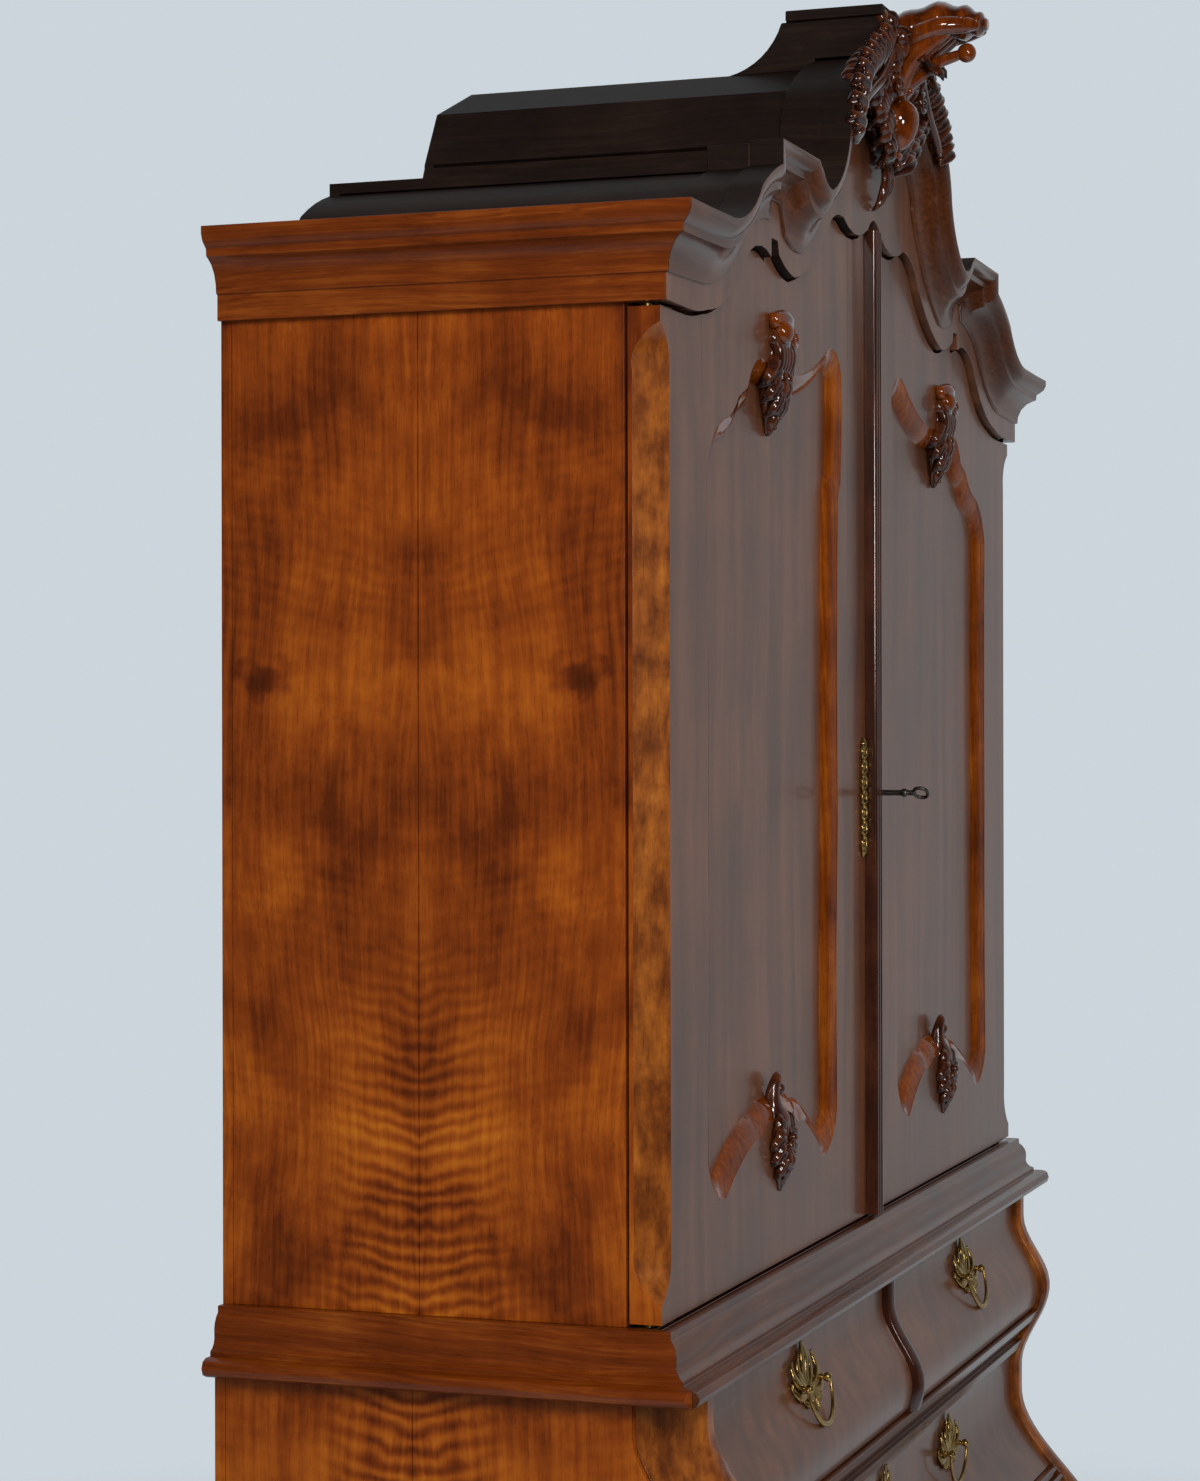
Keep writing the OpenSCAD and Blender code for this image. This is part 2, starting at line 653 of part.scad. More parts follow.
// The canted corner, with its ends run out in a curve
module corner_cant() {
  deep = chamfer_w / sqrt(2);
  ends = [23, 81, door_h - 71, door_h - 20];
  curve = 8;
  cut = run([[ends[0], 0, curve], [ends[1], deep, 0], [ends[2], deep, curve], [ends[3], 0, 0]], 6);
  translate([half_w, 0, 0]) rotate([0, 0, -45]) translate([0, -60, 0])
    rotate([-90, 0, 0]) mirror([0, 1, 0]) linear_extrude(120)
      polygon([for (p = concat([[ends[0], -60]], cut, [[ends[3], -60]])) [-p[1], p[0]]]);
}
module door_frame(x_in) {
  rail_in = stile_in_x + wrap;
  rail_out = stile_out_x - wrap;
  slip_z = [190, door_h - 175];
  difference() {
    union() {
      box([x_in, stile_in_x], [0, door_t], [door_gap, door_h + 210]);
      box([stile_out_x, half_w], [0, door_t], [door_gap, door_h + 210]);
      box([rail_in, rail_out], [0, door_t], [door_gap, slip_z[0] - wrap]);
      box([rail_in, rail_out], [0, door_t], [slip_z[1] + wrap, door_h + 210]);
      box([rail_in, 300], [0, door_t], slip_z);
      box([600, rail_out], [0, door_t], slip_z);
    }
    // Scalloped top edge, cleared sideways as well so that the door swings out from under the frieze
    for (s = [0, 5]) translate([-s, 0, -door_gap]) along_y(-50, 100) polygon(concat(
      [for (p = both(run(SCALLOP, 5))) p + [0, door_h]], [[half_w + 20, door_h], [half_w + 20, 3000], [-half_w, 3000]]));
    along_y(-1, door_t + 1) polygon(run(PANEL, panel_n));
    along_y(panel_sink, door_t + 1) polygon(REBATE);
    corner_cant();
    for (z = [door_gap - 1, door_top_z - hinge_t]) hinge_leaf(z, hinge_t + 1);
    for (z = [door_gap, door_top_z - pin_l - 4])
      translate([hinge_x, hinge_y, z]) cylinder(r = hinge_r + 0.4, h = pin_l + 4);
  }
}
module door_panel() {
  board = 14;
  play = 0.5;
  intersection() {
    along_y(panel_sink, panel_sink + board) polygon(REBATE);
    box([stile_in_x + 8 + play, stile_out_x - 7 - play], [0, door_t], [60 + play, door_h + 60]);
  }
}

// Moulding that runs down from the door face to the sunk panel
PANEL_SECTION = [[0, 0], [0.08, 0.1], [0.35, 0.16], [0.65, 0.4], [0.88, 0.7], [1, 1]];
function inward(p, i) =
  let (m = len(p), d = p[(i + 1) % m] - p[(i + m - 1) % m]) [d[1], -d[0]] / norm(d);
module panel_moulding() {
  path = run(PANEL, panel_n);
  n = len(path) - 1;
  p = [for (i = [0:n - 1]) path[i]];
  section = concat(PANEL_SECTION, [[0, 1]]);
  k = len(section);
  polyhedron(
    [for (i = [0:n - 1]) let (v = inward(p, i)) for (s = section)
      let (q = p[i] + v * (s[0] * panel_moulding_w + wrap)) [q[0], s[1] * panel_sink, q[1]]],
    [for (i = [0:n - 1]) for (j = [0:k - 1])
      [i * k + j, ((i + 1) % n) * k + j, ((i + 1) % n) * k + (j + 1) % k, i * k + (j + 1) % k]],
    convexity = 8);
}

// Carved sprays over and under the sunk panel
carving_x = 405;
module door_carvings() {
  top = door_h + 35;
  for (c = [[[0, -14, top - 12, 15], [0, -12, top - 60, 22], [0, -8, top - 105, 11], [0, -5, top - 133, 4]],
            [[0, -10, 212, 7], [0, -12, 165, 20], [0, -10, 128, 15], [0, -6, 92, 6]]])
    intersection() {
      translate([carving_x, 0, 0]) scroll(c);
      box([0, 1000], [-100, 0], [0, 2000]);
    }
}

module left_door() {
  color(polish) at_waist() mirror([1, 0, 0]) { door_frame(astragal_w / 2 + meeting_gap); door_panel(); }
}
module right_door() {
  color(polish) at_waist() {
    difference() {
      door_frame(-astragal_w / 2);
      translate([key_x, -1, key_z]) rotate([-90, 0, 0]) cylinder(r = keyhole_r, h = door_t + 2);
    }
    door_panel();
  }
}
module left_door_moulding() { color(walnut) at_waist() mirror([1, 0, 0]) panel_moulding(); }
module right_door_moulding() { color(walnut) at_waist() panel_moulding(); }
module left_door_carvings() { color(polish) at_waist() mirror([1, 0, 0]) door_carvings(); }
module right_door_carvings() { color(polish) at_waist() door_carvings(); }
// Knife hinge leaves of the left door, with the keeper that receives the lock bolt
module left_door_fittings() {
  inner_edge = -astragal_w / 2 - meeting_gap;
  x = [inner_edge - 28, inner_edge - 3];
  wall = 4;
  z = [bolt_z - 1, bolt_z + bolt_h + 1];
  color(brass_c) at_waist() {
    mirror([1, 0, 0]) door_leaves();
    box(x, [door_t, bolt_y + bolt_w / 2 + 1 + wall], [z[0] - wall, z[0] - wrap]);
    box(x, [door_t, bolt_y + bolt_w / 2 + 1 + wall], [z[1] + wrap, z[1] + wall]);
    box(x, [bolt_y + bolt_w / 2 + 1, bolt_y + bolt_w / 2 + 1 + wall], z);
  }
}
module right_door_hinge_leaves() { color(brass_c) at_waist() door_leaves(); }

// Three reeds side by side, on the right door's meeting edge
module astragal() {
  reed = astragal_w / 6;
  top = door_h + 203 - door_gap - 8;
  color(polish) at_waist() translate([0, 0, door_gap]) linear_extrude(top - door_gap) {
    translate([-astragal_w / 2, -astragal_out + reed]) square([astragal_w, astragal_out - reed]);
    for (x = [-2, 0, 2] * reed) translate([x, -astragal_out + reed]) circle(r = reed);
  }
}

// Lock on the inside of the right door, with its key
keyhole_r = 6;
key_x = astragal_w / 2 + 13;
lock_w = 70;
lock_h = 66;
lock_d = 20;
lock_x = -astragal_w / 2 + 3;
bit_l = 10;
bit_w = 8;
bolt_z = key_z + bit_l + 3;
bolt_h = 12;
bolt_w = 8;
bolt_y = door_t + lock_d / 2;
module lock_case() {
  wall = 2;
  chamber_r = bit_l + 1.5;
  color(steel_c) at_waist() difference() {
    box([lock_x, lock_x + lock_w], [door_t, door_t + lock_d], [key_z - lock_h / 2, key_z + lock_h / 2]);
    // Chamber that the bit turns in, and the shank's bearing in the cap
    translate([key_x, door_t - 1, key_z]) rotate([-90, 0, 0]) cylinder(r = chamber_r, h = 1 + lock_d - 6);
    translate([key_x, door_t, key_z]) rotate([-90, 0, 0]) cylinder(r = key_r + fit, h = lock_d + 1);
    // Slot that the bolt slides in
    box([lock_x - 1, lock_x + lock_w - wall], [bolt_y - bolt_w / 2 - 0.1, bolt_y + bolt_w / 2 + 0.1],
        [bolt_z - 0.1, bolt_z + bolt_h + 0.1]);
  }
}
module lock_bolt() {
  color(steel_c) at_waist()
    box([lock_x + 1, lock_x + lock_w - 12], [bolt_y - bolt_w / 2, bolt_y + bolt_w / 2], [bolt_z, bolt_z + bolt_h]);
}
module door_key() {
  bow_r = 13;
  bow_t = 3;
  color(steel_c) at_waist() translate([key_x, 0, key_z]) {
    translate([0, -key_out + 2 * bow_r - 2, 0]) rotate([-90, 0, 0])
      cylinder(r = key_r, h = key_out - 2 * bow_r + 2 + door_t + lock_d);
    translate([0, -key_out + 2 * bow_r + 4, 0]) rotate([-90, 0, 0]) cylinder(r = key_r + 2, h = 4);
    translate([0, -key_out + bow_r, 0]) rotate_extrude() translate([bow_r - bow_t, 0]) circle(r = bow_t);
    box([0, bit_l], [door_t + 3, door_t + 3 + bit_w], [-1.5, 1.5]);
  }
}

// Brasses

// Outline of a keyhole plate with wavy sides, w wide and h tall
function wavy(w, h, waves) = [for (i = [0:waves * 8 - 1])
  let (a = 360 * i / (waves * 8), k = 1 + 0.09 * cos(waves * a)) [w / 2 * k * cos(a), h / 2 * k * sin(a)]];
esc_w = 24;
esc_h = 137;
esc_z = key_z - 5;
module door_escutcheon() {
  translate([astragal_w / 2 + 1 + esc_w / 2, 0, 0]) along_y(-plate_t, 0) translate([0, esc_z]) difference() {
    intersection() {
      polygon(wavy(esc_w, esc_h, 8));
      square([esc_w - 0.5, esc_h + 20], center = true);
    }
    translate([0, key_z - esc_z]) {
      circle(r = key_r + 1);
      translate([-2.5, -18]) square([5, 18]);
    }
  }
}
module left_door_escutcheon() {
  color(brass_c) at_waist() translate([-meeting_gap, 0, 0]) mirror([1, 0, 0]) door_escutcheon();
}
module right_door_escutcheon() { color(brass_c) at_waist() door_escutcheon(); }

// Plate bent to the serpentine drawer face, from [drop below d, half width] stations
module bent_plate(x, d, stations) {
  seat = 0.7;
  translate([x, 0, 0]) skin([for (s = reversed(stations))
    let (y = face_y(d + s[0]) - seat, w = s[1], z = -d - s[0])
    [[w, y, z], [w, y - plate_t, z], [-w, y - plate_t, z], [-w, y, z]]]);
}
// Half widths of the leafy back plate of a handle and of a keyhole plate, from the top down
HANDLE_PLATE = [
  [-47, 4], [-40, 12], [-32, 17], [-26, 30], [-18, 42], [-9, 46], [0, 57], [8, 56], [16, 45],
  [24, 34], [32, 20], [40, 6]];
KEY_PLATE = [[-30, 5], [-24, 13], [-15, 16], [-8, 22], [2, 19], [10, 23], [18, 15], [25, 8], [30, 3]];
key_drop = 42;
module handles(row, xs) {
  d = ROWS[row][0];
  pin_d = d + handle_drop;
  boss = 4;
  for (x = xs) {
    bent_plate(x, pin_d, HANDLE_PLATE);
    for (s = [-1, 1]) translate([x + s * post_x, pin_y(row), -pin_d]) difference() {
      union() {
        translate([0, bail_r + 1, 0]) rotate([-90, 0, 0])
          cylinder(r = knob_r - 2, h = face_y(pin_d) - pin_y(row) - plate_t - bail_r - 1);
        rotate([0, 90, 0]) cylinder(r = knob_r, h = 2 * boss, center = true);
      }
      rotate([0, 90, 0]) cylinder(r = bail_r + fit, h = 4 * boss, center = true);
    }
  }
}
// Keyhole plate of a long drawer, with the lock's plate on the back of the drawer front
module key_plates(row) {
  z = -ROWS[row][0] - key_drop;
  difference() {
    bent_plate(0, ROWS[row][0] + key_drop, KEY_PLATE);
    key_slot(row);
  }
  box([-35, 35], [ROWS[row][2], ROWS[row][2] + plate_t], [z - 25, z + 25]);
}
// Keyhole through a long drawer's brass plate and into its front
module key_slot(row) {
  translate([0, 0, -ROWS[row][0] - key_drop]) along_y(swell(ROWS[row][0] + key_drop) - 10, ROWS[row][2] - 10) {
    circle(r = 3);
    translate([-1.6, -11]) square([3.2, 11]);
  }
}
// A bail: half a ring hung from two pins, leaning out where the drawer swells below it
module bail(row, x) {
  lean = ROWS[row][3];
  color(brass_c) at_waist() translate([x, pin_y(row), -ROWS[row][0] - handle_drop]) rotate([-lean, 0, 0]) {
    rotate([90, 180, 0]) rotate_extrude(angle = 180) translate([bail_w, 0]) circle(r = bail_r);
    for (s = [-1, 1]) {
      translate([s * bail_w, 0, 0]) sphere(r = bail_r);
      translate([s * (bail_w + post_x - 4) / 2, 0, 0]) rotate([0, 90, 0])
        cylinder(r = bail_r, h = bail_w - post_x + 4, center = true);
    }
  }
}

// Drawers

module drawer_front(row, open) {
  d = ROWS[row][0] + drawer_gap;
  d1 = ROWS[row][0] + ROWS[row][1] - drawer_gap;
  along_x(open[0] + drawer_gap, open[1] - drawer_gap) polygon(concat(
    front_line(d, d1, bead_out), [[ROWS[row][2], -d1], [ROWS[row][2], -d]]));
}
module long_front(row) {
  color(polish) at_waist() difference() {
    drawer_front(row, long_open);
    key_slot(row);
  }
}
module long_brasses(row) {
  color(brass_c) at_waist() {
    handles(row, [-long_handle_x, long_handle_x]);
    key_plates(row);
  }
}
// The sides, bottom and back, open at the top
module drawer_box(row, open) {
  play = 2;
  low = 0.3;
  x = open + [play, -play];
  y = [ROWS[row][2], box_end];
  z0 = -ROWS[row][0] - ROWS[row][1] + low;
  z = [z0, -ROWS[row][0] - 12];
  t = drawer_side_t;
  box([x[0], x[0] + t], y, z);
  box([x[1] - t, x[1]], y, z);
  box([x[0] + t, x[1] - t], [y[1] - t, y[1]], z);
  box([x[0] + t, x[1] - t], [y[0], y[1] - t], [z0 + 3, z0 + 3 + drawer_bottom_t]);
}

module top_left_drawer_front() { color(polish) at_waist() drawer_front(0, left_open); }
module top_left_drawer_box() { color(oak) at_waist() drawer_box(0, left_open); }
module top_left_drawer_brasses() { color(brass_c) at_waist() handles(0, [-short_handle_x]); }
module top_left_bail() { bail(0, -short_handle_x); }
module top_right_drawer_front() { color(polish) at_waist() drawer_front(0, right_open); }
module top_right_drawer_box() { color(oak) at_waist() drawer_box(0, right_open); }
module top_right_drawer_brasses() { color(brass_c) at_waist() handles(0, [short_handle_x]); }
module top_right_bail() { bail(0, short_handle_x); }
module middle_drawer_front() { long_front(1); }
module middle_drawer_box() { color(oak) at_waist() drawer_box(1, long_open); }
module middle_drawer_brasses() { long_brasses(1); }
module middle_left_bail() { bail(1, -long_handle_x); }
module middle_right_bail() { bail(1, long_handle_x); }
module bottom_drawer_front() { long_front(2); }
module bottom_drawer_box() { color(oak) at_waist() drawer_box(2, long_open); }
module bottom_drawer_brasses() { long_brasses(2); }
module bottom_left_bail() { bail(2, -long_handle_x); }
module bottom_right_bail() { bail(2, long_handle_x); }

lower_sides();
corner_posts();
lower_back();
lower_top();
drawer_rails();
drawer_muntin();
dust_boards();
drawer_guides();
apron();
lower_bottom();
base_moulding();
feet();
waist_front();
waist_sides();
upper_sides();
upper_bottom();
upper_top();
upper_back();
shelves();
shelf_cleats();
frieze();
tympanum();
cornice_front();
cornice_sides();
roof_boards();
crest_block();
crest_carving();
case_hinge_leaves();
left_door();
left_door_moulding();
left_door_carvings();
left_door_escutcheon();
left_door_fittings();
right_door();
right_door_moulding();
right_door_carvings();
right_door_escutcheon();
right_door_hinge_leaves();
astragal();
lock_case();
lock_bolt();
door_key();
top_left_drawer_front();
top_left_drawer_box();
top_left_drawer_brasses();
top_left_bail();
top_right_drawer_front();
top_right_drawer_box();
top_right_drawer_brasses();
top_right_bail();
middle_drawer_front();
middle_drawer_box();
middle_drawer_brasses();
middle_left_bail();
middle_right_bail();
bottom_drawer_front();
bottom_drawer_box();
bottom_drawer_brasses();
bottom_left_bail();
bottom_right_bail();
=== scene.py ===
"""A walnut linen press: a scrolled cornice over two panelled doors, on a bombé chest of drawers."""
import json
import math

import bmesh
import bpy
from mathutils import Matrix, Vector
from mathutils.bvhtree import BVHTree


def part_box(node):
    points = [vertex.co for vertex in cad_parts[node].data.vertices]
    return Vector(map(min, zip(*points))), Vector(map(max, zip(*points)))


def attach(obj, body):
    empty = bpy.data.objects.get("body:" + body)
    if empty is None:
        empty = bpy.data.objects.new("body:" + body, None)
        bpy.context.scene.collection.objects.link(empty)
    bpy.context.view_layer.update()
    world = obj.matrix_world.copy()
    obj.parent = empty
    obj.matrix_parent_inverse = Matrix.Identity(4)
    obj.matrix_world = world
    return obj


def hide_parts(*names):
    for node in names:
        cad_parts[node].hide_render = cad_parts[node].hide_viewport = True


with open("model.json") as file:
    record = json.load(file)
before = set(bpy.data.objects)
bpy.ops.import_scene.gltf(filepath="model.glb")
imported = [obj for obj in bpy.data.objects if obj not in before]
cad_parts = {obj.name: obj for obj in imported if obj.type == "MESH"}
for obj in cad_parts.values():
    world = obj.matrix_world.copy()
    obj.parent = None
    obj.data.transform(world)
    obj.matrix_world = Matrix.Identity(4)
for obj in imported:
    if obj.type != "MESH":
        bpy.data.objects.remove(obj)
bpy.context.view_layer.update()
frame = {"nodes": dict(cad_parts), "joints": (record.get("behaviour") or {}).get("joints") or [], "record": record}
nodes = frame["nodes"]
record = frame["record"]
carrier = {node: body for body, members in record["behaviour"]["bodies"].items() for node in members}
finish_slot = {part["node"]: part["material_slot"] for part in record["subparts"]}
pivot = {joint["name"]: Vector(joint["pos_m"]) for joint in frame["joints"]}

MM = 0.001

# Places and directions that the pieces and the veneer figures are laid out from, in metres
FRIEZE_STANDS_OUT = 10 * MM
DOOR_FACE_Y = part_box("frieze")[0].y + FRIEZE_STANDS_OUT
WAIST_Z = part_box("upper_sides")[0].z
CASE_HALF_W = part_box("upper_sides")[1].x
OUTWARDS = Vector((0.0, -1.0, 0.0))
UPWARDS = Vector((0.0, 0.0, 1.0))


def at(x, y, z):
    """A place in millimetres from the middle of the doors' face, at the height of the waist."""
    return Vector((x * MM, DOOR_FACE_Y + y * MM, WAIST_Z + z * MM))


# Materials

def linear(hex_colour):
    """The linear RGBA of an sRGB hex colour."""
    channels = [int(hex_colour[i:i + 2], 16) / 255 for i in (1, 3, 5)]
    return [c / 12.92 if c <= 0.04045 else ((c + 0.055) / 1.055) ** 2.4 for c in channels] + [1.0]


def add(tree, kind, inputs=None, stops=None, **settings):
    """Adds a node with its settings, sets its inputs to values or links them to a node or socket, and gives a
    colour ramp its (place, hex colour) stops."""
    made = tree.nodes.new(kind)
    for name, value in settings.items():
        setattr(made, name, value)
    for key, value in (inputs or {}).items():
        if isinstance(value, bpy.types.Node):
            tree.links.new(value.outputs[0], made.inputs[key])
        elif isinstance(value, bpy.types.NodeSocket):
            tree.links.new(value, made.inputs[key])
        else:
            made.inputs[key].default_value = value
    for i, (place, colour) in enumerate(stops or []):
        ramp = made.color_ramp.elements
        element = ramp[i] if i < len(ramp) else ramp.new(place)
        element.position = place
        element.color = linear(colour)
    return made


def finish(name, **shader_inputs):
    """A material with a Principled shader alone, and that shader."""
    material = bpy.data.materials.new(name)
    material.use_nodes = True
    tree = material.node_tree
    tree.nodes.clear()
    shader = add(tree, "ShaderNodeBsdfPrincipled", shader_inputs)
    add(tree, "ShaderNodeOutputMaterial", {"Surface": shader})
    return material, tree, shader


# Turns that lay the grain, which runs along Z, along X and along Y
UPRIGHT = (0.0, 0.0, 0.0)
ALONG_X = (0.0, math.pi / 2, 0.0)
ALONG_Y = (math.pi / 2, 0.0, 0.0)
# How far the grain wanders across and along a board, in metres
GRAIN_WANDER = (0.07, 0.07, 0.02)
# Pores per metre. They are 0.2 mm wide in the wood and are drawn about 1 mm wide, so that they show
PORES = (900, 900, 45)


def wood(name, stops, turn=UPRIGHT, cloud_mm=220, streak_mm=(5, 260), streak_share=0.42, roughness=0.3,
         coat=0.25, shine=0.5, fold=None, figure=None):
    """Planed walnut or oak: clouds of tone, long fine grain streaks and dark pores. shine is the polish's
    specular level, fold changes where the pattern is read, and figure adds to its tone."""
    material, tree, shader = finish(name, **{"IOR": 1.5, "Specular IOR Level": shine, "Coat Weight": coat,
                                             "Coat Roughness": 0.08})
    place = add(tree, "ShaderNodeTexCoord").outputs["Object"]
    if fold:
        place = fold(tree, place)
    along = add(tree, "ShaderNodeMapping", {"Vector": place, "Rotation": turn})
    drift = add(tree, "ShaderNodeTexNoise", {"Vector": along, "Scale": 2.2, "Detail": 2.0})
    wander = add(tree, "ShaderNodeVectorMath", {0: drift.outputs["Color"], 1: GRAIN_WANDER},
                 operation="MULTIPLY")
    bent = add(tree, "ShaderNodeVectorMath", {0: along, 1: wander}, operation="ADD")
    clouds = add(tree, "ShaderNodeTexNoise",
                 {"Vector": bent, "Scale": 1000 / cloud_mm, "Detail": 5.0, "Roughness": 0.62})
    across_scale, along_scale = (1000 / mm for mm in streak_mm)
    stretch = (across_scale, across_scale, along_scale)
    streak_place = add(tree, "ShaderNodeMapping", {"Vector": bent, "Scale": stretch})
    streaks = add(tree, "ShaderNodeTexNoise",
                  {"Vector": streak_place, "Scale": 1.0, "Detail": 4.0, "Roughness": 0.6})
    pore_place = add(tree, "ShaderNodeMapping", {"Vector": bent, "Scale": PORES})
    pores = add(tree, "ShaderNodeTexNoise", {"Vector": pore_place, "Scale": 1.0, "Detail": 1.0})
    tone = add(tree, "ShaderNodeMix", {0: streak_share, 2: clouds, 3: streaks})
    if figure:
        tone = figure(tree, place, bent, tone)
    colour = add(tree, "ShaderNodeValToRGB", {"Fac": tone}, stops)
    dark = add(tree, "ShaderNodeMapRange",
               {"Value": pores, "From Min": 0.58, "From Max": 0.72, "To Min": 1.0, "To Max": 0.72})
    shade = add(tree, "ShaderNodeMix", {0: 1.0, 6: colour, 7: dark}, data_type="RGBA", blend_type="MULTIPLY")
    tree.links.new(shade.outputs[2], shader.inputs["Base Color"])
    rough = add(tree, "ShaderNodeMapRange",
                {"Value": clouds, "To Min": roughness - 0.05, "To Max": roughness + 0.06})
    tree.links.new(rough.outputs[0], shader.inputs["Roughness"])
    bump = add(tree, "ShaderNodeBump", {"Height": pores, "Strength": 0.05, "Distance": 0.2 * MM})
    tree.links.new(bump.outputs[0], shader.inputs["Normal"])
    return material


# The side's two leaves of veneer are opened like a book about this seam
SEAM_Y = DOOR_FACE_Y + 265 * MM


def book_match(tree, place):
    """Reads the veneer by its distance from the seam, so that its two halves mirror each other."""
    split = add(tree, "ShaderNodeSeparateXYZ", {0: place})
    offset = add(tree, "ShaderNodeMath", {0: split.outputs["Y"], 1: SEAM_Y}, operation="SUBTRACT")
    from_seam = add(tree, "ShaderNodeMath", {0: offset}, operation="ABSOLUTE")
    folded = {"X": split.outputs["X"], "Y": from_seam, "Z": split.outputs["Z"]}
    return add(tree, "ShaderNodeCombineXYZ", folded).outputs[0]


# A wave texture's period at scale 1, and how far apart the side's ripples stand, in millimetres
WAVE_PERIOD = 0.314
RIPPLE_MM = 17
# The ripples slant from the seam, alike on both halves
RIPPLE_SLANT = math.radians(-14)
# The feather of ripples fades out between these distances from the seam, and these heights over the waist
FEATHER_NEAR = 0.03
FEATHER_FAR = 0.13
FEATHER_LOW = 0.14
FEATHER_HIGH = 0.48
# How strongly the ripples show in the feather, and in faint patches elsewhere
FEATHER_DEPTH = 0.16
FAINT_DEPTH = 0.03
# A knot's place, folded at the seam, how far its dark heart, its ragged edge and the shadow round it reach,
# and how far the edge strays, in metres
KNOT = (0.0, 176 * MM, WAIST_Z + 662 * MM)
KNOT_HEART = 0.03
KNOT_EDGE = 0.066
SHADOW_EDGE = 0.16
KNOT_STRAY = 0.06
# Only the distance across the face counts, and a knot is wider than it is high
KNOT_FORM = (0.0, 0.8, 1.25)
# The wood's tone is darker by this much in a knot, in the shadow round it and on the seam
KNOT_TONE = -0.17
SHADOW_TONE = -0.06
SEAM_TONE = -0.12


def side_figure(tree, place, bent, tone):
    """The side's figure: a feather of ripples low beside the seam, a faint ripple elsewhere, and a small dark
    knot on each half."""
    slant = add(tree, "ShaderNodeMapping", {"Vector": bent, "Rotation": (RIPPLE_SLANT, 0.0, 0.0)})
    ripple = add(tree, "ShaderNodeTexWave",
                 {"Vector": slant, "Scale": WAVE_PERIOD * 1000 / RIPPLE_MM, "Distortion": 5.0, "Detail": 2.0,
                  "Detail Scale": 1.2}, bands_direction="Z", wave_profile="SIN")
    wave = add(tree, "ShaderNodeMath", {0: ripple.outputs["Fac"], 1: 0.5}, operation="SUBTRACT")
    split = add(tree, "ShaderNodeSeparateXYZ", {0: place})
    near_seam = add(tree, "ShaderNodeMapRange",
                    {"Value": split.outputs["Y"], "From Min": FEATHER_FAR, "From Max": FEATHER_NEAR,
                     "To Max": 1.0}, interpolation_type="SMOOTHSTEP")
    low = add(tree, "ShaderNodeMapRange",
              {"Value": split.outputs["Z"], "From Min": WAIST_Z + FEATHER_HIGH,
               "From Max": WAIST_Z + FEATHER_LOW, "To Max": FEATHER_DEPTH}, interpolation_type="SMOOTHSTEP")
    feather = add(tree, "ShaderNodeMath", {0: near_seam, 1: low}, operation="MULTIPLY")
    patches = add(tree, "ShaderNodeTexNoise", {"Vector": place, "Scale": 5.0, "Detail": 1.0})
    faint = add(tree, "ShaderNodeMapRange",
                {"Value": patches, "From Min": 0.45, "From Max": 0.68, "To Max": FAINT_DEPTH})
    depth = add(tree, "ShaderNodeMath", {0: feather, 1: faint}, operation="ADD")
    rippled = add(tree, "ShaderNodeMath", {0: wave, 1: depth, 2: tone}, operation="MULTIPLY_ADD")
    from_knot = add(tree, "ShaderNodeVectorMath", {0: place, 1: KNOT}, operation="SUBTRACT")
    across = add(tree, "ShaderNodeVectorMath", {0: from_knot, 1: KNOT_FORM}, operation="MULTIPLY")
    distance = add(tree, "ShaderNodeVectorMath", {0: across}, operation="LENGTH").outputs["Value"]
    ragged = add(tree, "ShaderNodeTexNoise", {"Vector": place, "Scale": 42.0, "Detail": 3.0})
    ragged_distance = add(tree, "ShaderNodeMath", {0: ragged, 1: KNOT_STRAY, 2: distance},
                          operation="MULTIPLY_ADD")
    knot = add(tree, "ShaderNodeMapRange",
               {"Value": ragged_distance, "From Min": KNOT_HEART, "From Max": KNOT_EDGE, "To Min": KNOT_TONE,
                "To Max": 0.0}, interpolation_type="SMOOTHSTEP")
    shadow = add(tree, "ShaderNodeMapRange",
                 {"Value": distance, "From Min": 0.0, "From Max": SHADOW_EDGE, "To Min": SHADOW_TONE,
                  "To Max": 0.0}, interpolation_type="SMOOTHSTEP")
    marks = add(tree, "ShaderNodeMath", {0: knot, 1: shadow}, operation="ADD")
    marked = add(tree, "ShaderNodeMath", {0: rippled, 1: marks}, operation="ADD")
    # The seam itself is a dark hairline, drawn more than 1 mm wide, so that it shows
    seam = add(tree, "ShaderNodeMapRange",
               {"Value": split.outputs["Y"], "From Min": 0.4 * MM, "From Max": 1.2 * MM, "To Min": SEAM_TONE,
                "To Max": 0.0})
    return add(tree, "ShaderNodeMath", {0: marked, 1: seam}, operation="ADD")


# Book-matched walnut veneer, polished: deep orange brown where the window lights it
side_veneer = wood("book_matched_walnut_veneer",
                   [(0.2, "#280d01"), (0.38, "#572103"), (0.5, "#7b3504"), (0.62, "#984b08"),
                    (0.8, "#b56a12")], cloud_mm=150, streak_mm=(7, 300), streak_share=0.3, roughness=0.36,
                   coat=0.0, shine=0.25, fold=book_match, figure=side_figure)
# Straight-grained walnut of the doors and drawers, aged to a red brown under a glossy polish
front_veneer = wood("straight_grained_walnut_veneer",
                    [(0.3, "#3a2014"), (0.48, "#56321f"), (0.68, "#6f442d")], streak_mm=(26, 900),
                    streak_share=0.5)
# Solid walnut of the front's mouldings, with its grain along the front
moulding_x = wood("solid_walnut_moulding_along_front",
                  [(0.3, "#260f06"), (0.5, "#46220e"), (0.7, "#623519")], turn=ALONG_X, roughness=0.22,
                  coat=0.2, shine=0.35)
